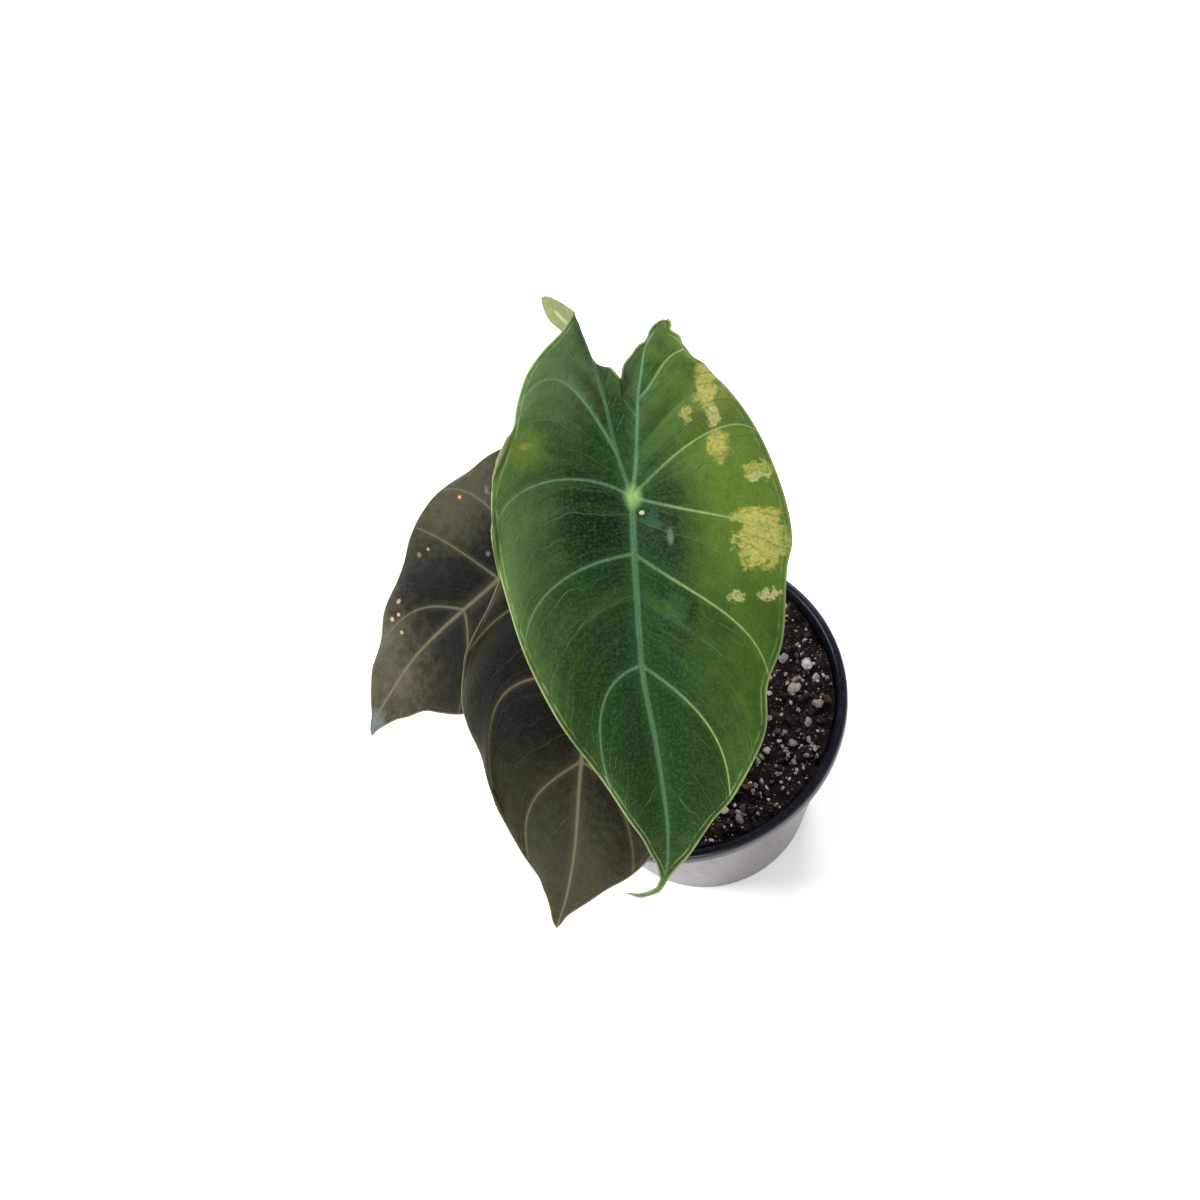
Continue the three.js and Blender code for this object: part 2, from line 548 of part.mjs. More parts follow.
// Soil filling the pot: lumpy top with coarse grains standing out of it and a plain hole for each stem
function soilGeometry() {
  const bottom = FLOOR + SOIL_GAP;
  const outline = [[0, bottom], [innerFoot - 2.2, bottom], [innerRadius(FLOOR + 3) - SOIL_GAP, FLOOR + 3]];
  const edge = innerRadius(SOIL_LEVEL - 3) - SOIL_GAP;
  outline.push([edge, SOIL_LEVEL - 3]);
  const steps = 13;
  for (let i = 0; i <= steps; i++) outline.push([edge * (1 - i / steps), SOIL_LEVEL]);
  const body = turned(outline, ROUND);
  const position = body.getAttribute('position');
  for (let i = 0; i < position.count; i++) {
    if (Math.abs(position.getZ(i) - SOIL_LEVEL) > 0.001) continue;
    const [x, y] = [position.getX(i), position.getY(i)].map((v) => Math.round(v * 1000) / 1000);
    position.setZ(i, soilTop(x, y));
  }
  let soil = solidFrom(body);
  const random = randomSource(7);
  for (let i = 0; i < 46; i++) {
    const r = (edge - 4) * Math.sqrt(random());
    const angle = 2 * Math.PI * random();
    const [x, y] = [r * Math.cos(angle), r * Math.sin(angle)];
    const size = 1.1 + 1.3 * random() ** 2;
    const clear = Object.values(STEMS).every(({ foot }) => Math.hypot(x - foot[0], y - foot[1]) > size + 4);
    if (!clear) continue;
    const grain = new THREE.IcosahedronGeometry(size, 0);
    grain.scale(1, 0.7 + 0.3 * random(), 0.75);
    grain.rotateZ(6 * random());
    grain.rotateX(random());
    grain.translate(x, y, soilTop(x, y) + 0.05 * size);
    soil = soil.add(solidFrom(grain));
  }
  for (const stem of Object.values(STEMS)) {
    const [x, y] = stem.foot;
    soil = soil.subtract(cylinderAt(x, y, 71, 96, stem.radii[0] + STEM_GAP, 16));
  }
  return geometryFrom(soil);
}

function material(color, roughness) {
  return new THREE.MeshStandardMaterial({ color, roughness, metalness: 0, side: THREE.DoubleSide });
}

const group = new THREE.Group();
group.name = 'potted_alocasia';
function addPart(name, geometry, color, roughness) {
  const mesh = new THREE.Mesh(geometry, material(color, roughness));
  mesh.name = name;
  group.add(mesh);
}

addPart('pot', potGeometry(), 0x17181c, 0.42);
addPart('soil', soilGeometry(), 0x33241c, 0.95);
addPart('stem_main', stemGeometry(STEMS.main), 0x6f9150, 0.5);
addPart('stem_front', stemGeometry(STEMS.front), 0x5d6b46, 0.5);
addPart('stem_left', stemGeometry(STEMS.left), 0x5d6b46, 0.5);
addPart('blade_main', bladeGeometry(MAIN), 0x2f6b2c, 0.4);
addPart('blade_front', bladeGeometry(FRONT), 0x2e3428, 0.5);
addPart('blade_left', bladeGeometry(LEFT), 0x2c2d28, 0.5);

export default group;
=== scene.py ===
"""Looks of the potted alocasia: leaves, stems, pot, soil with perlite, studio floor, light and camera."""
import math
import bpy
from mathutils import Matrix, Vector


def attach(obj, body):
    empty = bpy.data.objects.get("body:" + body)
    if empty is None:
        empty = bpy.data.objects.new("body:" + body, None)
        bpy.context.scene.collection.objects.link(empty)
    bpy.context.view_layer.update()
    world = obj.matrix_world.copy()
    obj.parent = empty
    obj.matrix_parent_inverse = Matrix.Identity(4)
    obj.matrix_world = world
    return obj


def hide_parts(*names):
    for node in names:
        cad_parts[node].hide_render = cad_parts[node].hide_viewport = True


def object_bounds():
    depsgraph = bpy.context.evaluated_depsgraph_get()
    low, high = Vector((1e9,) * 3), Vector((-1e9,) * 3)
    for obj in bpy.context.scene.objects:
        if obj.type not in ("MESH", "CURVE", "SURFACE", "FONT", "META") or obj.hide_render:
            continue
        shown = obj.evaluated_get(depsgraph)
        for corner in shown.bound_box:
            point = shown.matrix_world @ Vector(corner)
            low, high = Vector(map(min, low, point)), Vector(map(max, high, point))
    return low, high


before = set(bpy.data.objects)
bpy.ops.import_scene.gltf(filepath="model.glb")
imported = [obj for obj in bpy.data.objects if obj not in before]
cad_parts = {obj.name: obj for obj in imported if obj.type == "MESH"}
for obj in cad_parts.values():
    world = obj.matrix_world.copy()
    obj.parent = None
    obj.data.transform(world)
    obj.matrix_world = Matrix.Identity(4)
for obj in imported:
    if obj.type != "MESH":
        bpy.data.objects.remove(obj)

from types import SimpleNamespace

import bmesh
import bpy
import numpy as np
from mathutils import Matrix, Vector

CAD_BOX = [list(corner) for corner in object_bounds()]
MM = 0.001

# Dimensions in millimetres, as in the solids
POT_HEIGHT = 89.0
LIP_RADIUS = 54.5
LIP_SKIRT = 5.4
LIP_WIDE = 3.5
BASE_RADIUS = 39.0
WALL = 1.4
FLOOR = 1.8
DRAIN_RADIUS = 4.0
DRAIN_CIRCLE = 25.0
SOIL_LEVEL = 85.3
INNER_FOOT = BASE_RADIUS - WALL
INNER_TOP = LIP_RADIUS - LIP_WIDE
LIP_DEEP = 3.0
# Air between the soil and the pot
SOIL_GAP = 0.35
# Blade points are clipped to the box of the solids, less this margin. It moves five points of the main and
# left blades, by 0.012 mm at most.
BOX_MARGIN = 1e-4

# How brightly the studio light shows a leaf, and the gloss that it adds, for choosing base colours
LEAF_LIGHT = 1.3
LEAF_GLOSS = 0.004
# Distance in millimetres from the midrib over which the tones of a leaf change
HALF_WIDTH = 38

# Shares across a half blade, along one gap between ribs, and across the strip between two back lobes
COLUMNS = np.array([0, 0.012, 0.03, 0.055, 0.09, 0.13, 0.18, 0.23, 0.29, 0.35, 0.41, 0.47, 0.53, 0.59, 0.65,
                    0.71, 0.77, 0.82, 0.86, 0.90, 0.93, 0.955, 0.975, 0.99, 1.0])
ROW_STEPS = (0, 0.02, 0.045, 0.08, 0.13, 0.19, 0.25, 0.31, 0.37, 0.43, 0.5, 0.57, 0.63, 0.69, 0.75, 0.81,
             0.87, 0.92, 0.955, 0.98)
STRIP_COLUMNS = np.linspace(0, 1, 13)

# Millimetres that a rib of strength 1 stands up above and hangs below, blade thickness at the margin and
# what it gains inside, and how far the rim bulges
RIB_LIFT = 0.28
RIB_KEEL = 1.15
EDGE_THICK = 0.42
MORE_THICK = 0.18
RIM_PUSH = 0.04

# Leaf shapes, flat in (across, along) millimetres. Half 1 is at the -across side of the midrib.
# A row is: place on the spine, place on the margin, slide and bow of the two control points of its
# curve, and the strength of the rib it carries.
TIP_ROW = (1, 0, 0.33, 0, 0.67, 0, 0)
END_ROW = (-1, 1, 0.33, 0, 0.67, 0, 0)

MAIN_HALF_1 = dict(
    margin=[(-13.3, 107.5), (-9.6, 108), (-5.6, 107), (-4.2, 105.3), (-3.7, 103.8), (-4.2, 100.1),
        (-5.5, 96.8), (-7.2, 92.2), (-10, 87.2), (-16.4, 75.2), (-26.5, 56.5), (-33, 39.6), (-38, 18.7),
        (-38.5, -0.5), (-36.7, -9), (-31.2, -20.3), (-29.6, -29.2), (-26.6, -36.9), (-21.3, -43),
        (-15.8, -48.1), (-13.4, -51.6), (-10.7, -55.6), (-9.3, -60.6), (-7.4, -65.4), (-5.8, -66.7)],
    lobe=[(0, 0), (-3, -12.6), (-5.2, -27), (-7.4, -39), (-7.6, -50), (-6.8, -59), (-5.8, -66.7)],
    inner=[(-0.6, -33.2), (-3, -37), (-4.4, -41), (-5, -46), (-4.3, -54.2), (-3.5, -59), (-4.4, -63.8),
        (-5.8, -66.7)],
    rows=[TIP_ROW, (0.93, 0.041, 0.33, 0, 0.67, 0, 0), (0.89, 0.063, 0.33, 0, 0.67, 0, 0),
        (0.82, 0.097, 0.33, 0, 0.67, 0, 0), (0.386, 0.189, 0.2, 0.36, 0.67, 0.19, 1),
        (0.13, 0.412, 0.36, 0.24, 0.75, 0.3, 1), (0, 0.557, 0.25, 0.38, 0.91, 0.48, 1),
        (-0.18, 0.76, 0.55, 0.41, 0.95, 0.66, 1), (-0.36, 0.84, 0.5, 0.3, 0.85, 0.25, 0.1), END_ROW],
)
MAIN_HALF_2 = dict(
    margin=[(-13.3, 107.5), (-10.1, 109.1), (-7.8, 109), (-4.6, 108.2), (-3.3, 107.1), (-1.9, 105.3),
        (-0.6, 103.6), (2.5, 100.6), (5.7, 97.5), (12.8, 88.8), (19.5, 81.9), (29.1, 66.4), (31.2, 53.3),
        (36.2, 41.8), (39.1, 23.6), (41.2, 16), (40.5, 5.4), (37.1, -8.2), (33.2, -17.9), (28.3, -25.9),
        (25.1, -29.9), (21.8, -34.8), (19, -39.8), (16.6, -42.6), (14.4, -44.6), (14.7, -46.4),
        (13.9, -48)],
    lobe=[(0, 0), (1.8, -8), (3, -18), (4, -27.4), (5, -32), (6, -37), (6.9, -41), (8.6, -43.6),
        (10.4, -45.6), (12.2, -46.9), (13.9, -48)],
    inner=[(-0.6, -33.2), (-0.1, -36.5), (1, -38.4), (2.6, -39.9), (4.3, -42.1), (5.6, -42.8),
        (6.7, -43.2), (7.6, -44.6), (8.2, -46.2), (9.9, -47.8), (12, -48.6), (13.9, -48)],
    rows=[TIP_ROW, (0.93, 0.047, 0.33, 0, 0.67, 0, 0), (0.89, 0.077, 0.33, 0, 0.67, 0, 0),
        (0.82, 0.136, 0.33, 0, 0.67, 0, 0), (0.386, 0.227, 0.4, 0.18, 0.67, 0.22, 1),
        (0.13, 0.417, 0.41, 0.05, 0.74, 0.21, 1), (0, 0.628, 0.39, -0.02, 0.69, 0.02, 1),
        (0, 0.777, 0.2, 0.08, 0.9, 0.32, 1), (-0.258, 0.86, 0.35, 0.05, 0.7, 0.25, 0.1),
        (-0.516, 0.937, 0.4, -0.02, 0.6, 0.28, 1), END_ROW],
)
MAIN = dict(
    stem=(6.3, 18.1, 175), yaw=18, pitch=26, bank=0, sinus=(-0.6, -33.2), sides=[MAIN_HALF_1, MAIN_HALF_2],
    arch=0.0014, back=0.0022, channel=0.3, droop=0.006, wave=1.3, puff=1.1, phase=0.1,
    midrib=[(0, 0), (-0.8, 17), (-1.7, 46), (-0.3, 66), (0.4, 86), (0, 93), (-0.9, 99.5), (-2.6, 104.3),
        (-5, 107.3), (-8.5, 108.5), (-13.3, 107.5)],
    fold=dict(start=(-13.2, -53), end=(-9.2, -39.3), radius=1.4, turn=165),
    curl=dict(side=1, start=0.885, stop=0.975, width=3.2, radius=1.3, turn=150),
    tuck=1.8,
)
FRONT_HALF_1 = dict(
    margin=[(-3.9, 103.8), (-5.3, 101.3), (-7, 94.6), (-10.6, 87.5), (-17.2, 78.8), (-22, 71.9),
        (-25.8, 62.9), (-28.9, 57), (-32.2, 51), (-36.5, 45.4), (-39.8, 39.7), (-41.4, 35.3), (-42, 29.8),
        (-40.7, 21.9), (-38.5, 15), (-35.4, 6.1), (-33.2, -0.6), (-29.5, -14), (-24.5, -28),
        (-17.7, -40.5), (-11, -50)],
    lobe=[(0, 0), (-3, -12), (-6.5, -26), (-9.5, -40), (-11, -50)],
    inner=[(0, -19), (-3.4, -27), (-6, -39), (-11, -50)],
    rows=[TIP_ROW, (0.88, 0.08, 0.33, 0, 0.67, 0, 0), (0.43, 0.135, 0.42, 0.23, 0.6, 0.26, 1),
        (0.17, 0.273, 0.36, 0.45, 0.58, 0.42, 1), (0, 0.55, 0.23, 0.29, 0.57, 0.29, 1),
        (-0.22, 0.76, 0.4, 0.5, 0.73, 0.5, 1), (-0.4, 0.86, 0.5, 0.33, 0.83, 0.33, 0), END_ROW],
)
FRONT_HALF_2 = dict(
    margin=[(-3.9, 103.8), (-2.4, 101.6), (-0.1, 97.7), (6.6, 90.6), (12.1, 84.6), (19.2, 77.9),
        (25.2, 69.2), (32.5, 55), (38.3, 39.5), (40.3, 26), (39.4, 10), (36.5, -6), (30.5, -22),
        (24.5, -34), (17.7, -44), (10, -52)],
    lobe=[(0, 0), (3, -12), (6.5, -26), (9, -41), (10, -52)],
    inner=[(0, -19), (3.4, -27), (5.8, -39), (10, -52)],
    rows=[TIP_ROW, (0.88, 0.09, 0.33, 0, 0.67, 0, 0), (0.43, 0.199, 0.27, 0.28, 0.77, 0.17, 1),
        (0.17, 0.37, 0.23, 0.23, 0.57, 0.23, 1), (0, 0.56, 0.24, 0.27, 0.57, 0.27, 1),
        (-0.22, 0.76, 0.39, 0.47, 0.72, 0.47, 1), (-0.4, 0.86, 0.5, 0.27, 0.83, 0.27, 0), END_ROW],
)
FRONT = dict(
    stem=(-13.8, 8.1, 140), yaw=36, pitch=35, bank=0, sinus=(0, -19), sides=[FRONT_HALF_1, FRONT_HALF_2],
    arch=0.0014, back=0.0022, channel=0.25, droop=0.0065, wave=1.4, puff=1.2, phase=0.3,
    midrib=[(0, 0), (0.4, 22), (0.4, 45), (0.5, 55.4), (0.7, 65), (0.6, 74.9), (-0.2, 84.5), (-1.4, 93.2),
        (-3.9, 103.8)],
)
LEFT_HALF_1 = dict(
    margin=[(0.6, 84.6), (-1.8, 82.9), (-4.3, 79.4), (-9.4, 74.5), (-13.6, 68.9), (-16.2, 62.7),
        (-19.4, 57.5), (-24.7, 51.6), (-28.6, 45.4), (-31.8, 38.6), (-34.2, 32), (-38.4, 25.1),
        (-41.2, 19.5), (-42.3, 13.3), (-42.5, 6.6), (-42, 0.5), (-40, -6.2), (-37.4, -14.4),
        (-33.6, -22.4), (-27.5, -32), (-18, -41), (-9, -46)],
    lobe=[(0, 0), (-2.5, -10), (-5.5, -22), (-8, -35), (-9, -46)],
    inner=[(0, -20), (-3, -27), (-5, -36), (-9, -46)],
    rows=[TIP_ROW, (0.88, 0.09, 0.33, 0, 0.67, 0, 0), (0.33, 0.206, 0.42, 0.24, 0.6, 0.22, 1),
        (0.14, 0.478, 0.25, 0.02, 0.66, 0.06, 1), (0, 0.576, 0.37, 0.15, 0.79, 0.23, 1),
        (-0.25, 0.8, 0.47, 0.37, 0.8, 0.37, 1), (-0.45, 0.88, 0.46, 0.27, 0.79, 0.27, 0), END_ROW],
)
LEFT_HALF_2 = dict(
    margin=[(0.6, 84.6), (1.2, 81.1), (2.7, 77.1), (4.6, 72.8), (8, 68.2), (10.7, 63.7), (13, 60.7),
        (16.4, 58.2), (23.5, 51.7), (29.5, 40.5), (34.5, 27), (36.5, 12), (35.5, -4), (31, -19),
        (25, -31), (16.5, -41), (9, -47)],
    lobe=[(0, 0), (2.5, -10), (5.5, -22), (8, -35), (9, -47)],
    inner=[(0, -20), (3, -27), (5, -36), (9, -47)],
    rows=[TIP_ROW, (0.88, 0.075, 0.33, 0, 0.67, 0, 0), (0.33, 0.26, 0.29, 0.09, 0.62, 0.09, 1),
        (0.14, 0.44, 0.31, 0.13, 0.64, 0.13, 1), (0, 0.6, 0.33, 0.23, 0.67, 0.23, 1),
        (-0.25, 0.8, 0.47, 0.37, 0.8, 0.37, 1), (-0.45, 0.88, 0.5, 0.27, 0.83, 0.27, 0), END_ROW],
)
LEFT = dict(
    stem=(-29.6, 58.3, 108), yaw=72, pitch=18, bank=-6, sinus=(0, -20), sides=[LEFT_HALF_1, LEFT_HALF_2],
    arch=0.0014, back=0.0022, channel=0.25, droop=0.0065, wave=1.2, puff=1, phase=0.6,
    midrib=[(0, 0), (-0.8, 11.1), (-1.6, 20), (-2.7, 28.2), (-3.9, 37.8), (-4.8, 47.8), (-4.9, 56),
        (-3.9, 65.1), (-2.9, 73.5), (-1.6, 80), (0.6, 84.6)],
)
STEMS = dict(
    main=dict(leaf=MAIN, foot=(2, 24), radii=(3.9, 2.0),
              route=[(1.5, 28, 108), (3, 33.5, 143), (4.8, 29, 161)]),
    front=dict(leaf=FRONT, foot=(-3.5, 15.5), radii=(3.6, 1.9), route=[(-4.5, 19.5, 100), (-9, 18, 125)]),
    left=dict(leaf=LEFT, foot=(-7, 26), radii=(3.4, 1.8),
              route=[(-8.6, 30, 92), (-14, 39, 98), (-22, 49.5, 102.5)]),
)


def smooth(x):
    x = np.clip(x, 0, 1)
    return x * x * (3 - 2 * x)


def curve(points, steps=12):
    """Smooth curve through the points; the result gives the place at each share of its length."""
    p = np.asarray(points, float)
    p = np.vstack([2 * p[0] - p[1], p, 2 * p[-1] - p[-2]])
    t = (np.arange(steps) / steps)[:, None]
    parts = []
    for i in range(1, len(p) - 2):
        parts.append(0.5 * (2 * p[i] + (p[i + 1] - p[i - 1]) * t
                            + (2 * p[i - 1] - 5 * p[i] + 4 * p[i + 1] - p[i + 2]) * t * t
                            + (3 * p[i] - p[i - 1] - 3 * p[i + 1] + p[i + 2]) * t ** 3))
    dense = np.vstack(parts + [p[-2:-1]])
    run = np.concatenate([[0], np.cumsum(np.linalg.norm(np.diff(dense, axis=0), axis=1))])

    def at(share):
        want = np.clip(np.asarray(share, float), 0, 1) * run[-1]
        return np.stack([np.interp(want, run, dense[:, k]) for k in range(dense.shape[1])], -1)
    return at


def bend(d, radius, turn):
    """A strip bent round a roller: forward travel and depth at each distance d along it."""
    turn = np.radians(turn)
    rest = np.maximum(d - radius * turn, 0)
    angle = np.minimum(d / radius, turn)
    forward = radius * np.sin(angle) + rest * np.cos(turn)
    depth = radius * (1 - np.cos(angle)) + rest * np.sin(turn)
    return forward, depth


def leaf_frame(leaf):
    yaw, pitch, bank = (math.radians(leaf[k]) for k in ("yaw", "pitch", "bank"))
    along = np.array([-math.sin(yaw) * math.cos(pitch), -math.cos(yaw) * math.cos(pitch), -math.sin(pitch)])
    level = np.array([math.cos(yaw), -math.sin(yaw), 0.0])
    up = np.cross(along, level)
    across = level * math.cos(bank) + up * math.sin(bank)
    return np.array(leaf["stem"], float), across, along, np.cross(along, across)


def row_curve(start, end, bows, turn, t):
    """Points at shares t of the curve of a row; bows holds slide and bow of its two control points."""
    run = end - start
    side_way = turn * np.stack([-run[..., 1], run[..., 0]], -1)
    first = start + run * bows[..., 0:1] + side_way * bows[..., 1:2]
    second = start + run * bows[..., 2:3] + side_way * bows[..., 3:4]
    start, first, second, end = (v[..., None, :] for v in (start, first, second, end))
    t = t[:, None]
    return (1 - t) ** 3 * start + 3 * t * (1 - t) ** 2 * first + 3 * t * t * (1 - t) * second + t ** 3 * end


def row_table(side):
    """Fine rows of one half: spine place, margin place, four bows, rib number and place between ribs."""
    rows = []
    for k in range(len(side["rows"]) - 1):
        a, b = (np.array(side["rows"][i][:6], float) for i in (k, k + 1))
        for x in ROW_STEPS:
            rows.append([*(a + (b - a) * x), k, x])
    rows.append([-1, 1, 0.33, 0, 0.67, 0, len(side["rows"]) - 2, 1])
    return np.array(rows)


def nearest(points, lines):
    """Distance in millimetres from each flat point to the nearest line, and that line's own width there."""
    best = np.full(len(points), 1e9)
    width = np.ones(len(points))
    for line, line_width in lines:
        for lo in range(0, len(points), 8000):
            part = points[lo:lo + 8000]
            a, b = line[:-1], line[1:]
            ab = b - a
            t = ((part[:, None] - a) * ab).sum(-1) / np.maximum((ab * ab).sum(-1), 1e-9)
            t = np.clip(t, 0, 1)
            gap = np.linalg.norm(part[:, None] - a - ab * t[..., None], axis=-1)
            k = gap.argmin(1)
            i = np.arange(len(part))
            w = line_width[k] * (1 - t[i, k]) + line_width[k + 1] * t[i, k]
            closer = gap[i, k] / w < best[lo:lo + 8000] / width[lo:lo + 8000]
            best[lo:lo + 8000] = np.where(closer, gap[i, k], best[lo:lo + 8000])
            width[lo:lo + 8000] = np.where(closer, w, width[lo:lo + 8000])
    return best, width


def half_curves(leaf, index):
    """Midrib, lobe rib, outer margin and inner margin of one half."""
    side = leaf["sides"][index]
    return [curve(leaf["midrib"]), *(curve(side[key]) for key in ("lobe", "margin", "inner"))]


def rib_lines(leaf):
    """Centre lines of the midrib, lobe ribs and side ribs, each with its width along the way."""
    share = np.linspace(0, 1, 160)
    ribs = [(curve(leaf["midrib"])(share), np.interp(share, [0, 0.5, 1], [1.2, 0.9, 0.4]))]
    t = np.linspace(0, 0.97, 60)
    for index, side in enumerate(leaf["sides"]):
        spine, lobe, margin, _ = half_curves(leaf, index)
        turn = 1 if index == 0 else -1
        ribs.append((lobe(np.linspace(0, 0.9, 60)), np.interp(np.linspace(0, 1, 60), [0, 1], [0.85, 0.4])))
        for s, e, *bows, rib in side["rows"]:
            if rib < 0.5:
                continue
            line = row_curve(spine(s) if s >= 0 else lobe(-s), margin(e), np.array(bows), turn, t)
            ribs.append((line, np.interp(t, [0, 0.4, 1], [0.66, 0.42, 0.22])))
    return ribs


def add_sheet(parts, place, spot, web, flip):
    """Adds a grid of points, flat and raised, with its web values and quads."""
    count = sum(len(sheet) for sheet in parts["flat"])
    grid = count + np.arange(place.shape[0] * place.shape[1]).reshape(place.shape[:2])
    faces = np.stack([grid[:-1, :-1], grid[:-1, 1:], grid[1:, 1:], grid[1:, :-1]], -1).reshape(-1, 4)
    parts["flat"].append(place.reshape(-1, 2))
    parts["spot"].append(spot.reshape(-1, 3))
    parts["web"].append(web.reshape(-1, 3))
    parts["quads"].append(faces[:, ::-1] if flip else faces)


def half_sheet(leaf, index, parts):
    """Adds one half of the blade, from the ribs to the margin; returns its rows and their feet."""
    spine, lobe, margin, _ = half_curves(leaf, index)
    rows = row_table(leaf["sides"][index])
    s, e, bows, x = rows[:, 0], rows[:, 1], rows[:, 2:6], rows[:, 7]
    number = rows[:, 6] + x
    start = np.where((s >= 0)[:, None], spine(s), lobe(-s))
    end = margin(e)
    run = end - start
    place = row_curve(start, end, bows, 1 if index == 0 else -1, COLUMNS)
    tangent = margin(e - 0.004) - margin(e + 0.004)
    outward = np.stack([tangent[:, 1], -tangent[:, 0]], -1)
    outward /= np.maximum(np.linalg.norm(outward, axis=1), 1e-9)[:, None]
    outward *= np.where((outward * run).sum(1) < 0, -1, 1)[:, None]
    to_edge = ((end[:, None] - place) * outward[:, None]).sum(-1)
    tt = COLUMNS[None, :] * np.ones((len(rows), 1))
    length, ee, xx, web_row = (v[:, None] * np.ones(len(COLUMNS))
                               for v in (np.linalg.norm(run, axis=1), e, x, number))
    h = blade_height(leaf, place[..., 0], place[..., 1], tt, xx, ee, length)
    # spacing of the ribs, for veins of an even width
    du = np.gradient(place, axis=0) / np.maximum(np.gradient(number), 1e-6)[:, None, None]
    dt = np.gradient(place, COLUMNS, axis=1)
    cross = np.abs(du[..., 0] * dt[..., 1] - du[..., 1] * dt[..., 0])
    gap = cross / np.maximum(np.linalg.norm(dt, axis=-1), 1e-6)
    spot = np.dstack([place, h])
    curl = leaf.get("curl")
    if curl and curl["side"] == index:
        width = curl["width"] * smooth((ee - curl["start"]) / 0.04) * smooth((curl["stop"] - ee) / 0.03)
        d = np.where(to_edge < width, width - to_edge, 0)
        forward, rise = bend(d, curl["radius"], curl["turn"])
        spot[..., :2] += outward[:, None] * (forward - d)[..., None]
        spot[..., 2] += rise
    add_sheet(parts, place, fold_down(leaf, index, spot), np.dstack([web_row, tt, gap]), index == 0)
    return rows, start


def strip_sheet(leaf, index, parts, rows, start):
    """Adds the strip between the lobe rib of one half and the notch, or the lobe's inner margin."""
    *_, inner = half_curves(leaf, index)
    s, number = rows[:, 0], rows[:, 6] + rows[:, 7]
    low = s <= 0
    low[:max(np.where(s == 0)[0].max(), np.argmax(low))] = False
    notch_at = leaf["sides"][index]["rows"][-2][0]
    reach = s[low] / notch_at
    rest = (s[low] - notch_at) / (-1 - notch_at)
    to_notch = np.array(leaf["sinus"]) * reach[:, None]
    target = np.where((reach <= 1)[:, None], to_notch, inner(np.maximum(rest, 0)))
    t = STRIP_COLUMNS[None, :, None]
    place = start[low][:, None] * (1 - t) + target[:, None] * t
    t3 = 0.3 * STRIP_COLUMNS[None, :] * np.ones((low.sum(), 1))
    h = blade_height(leaf, place[..., 0], place[..., 1], t3, 0 * t3, 0 * t3, 0 * t3)
    if index == 1:
        h -= leaf.get("tuck", 0) * smooth(STRIP_COLUMNS / 0.4) * smooth((-26 - place[..., 1]) / 8)
    wide = np.ones(len(STRIP_COLUMNS))
    reach_gap = np.linalg.norm(start[low] - target, axis=1)[:, None]
    web = np.dstack([number[low][:, None] * wide, -t3, reach_gap * wide])
    add_sheet(parts, place, fold_down(leaf, index, np.dstack([place, h])), web, index == 1)


def point_normals(points, faces):
    """Direction of the surface at each point, from the faces round it."""
    normals = np.zeros_like(points)
    tris = np.array([t for f in faces for t in ([f[:3]] if len(f) == 3 else [f[:3], [f[0], f[2], f[3]]])])
    n = np.cross(points[tris[:, 1]] - points[tris[:, 0]], points[tris[:, 2]] - points[tris[:, 0]])
    for j in range(3):
        np.add.at(normals, tris[:, j], n)
    return normals / np.maximum(np.linalg.norm(normals, axis=1), 1e-12)[:, None]


def open_edges(faces):
    """Edges that only one face has, in that face's direction."""
    edges = {}
    for f in faces:
        for a, b in zip(f, f[1:] + f[:1]):
            if (b, a) in edges:
                del edges[(b, a)]
            else:
                edges[(a, b)] = True
    return list(edges)


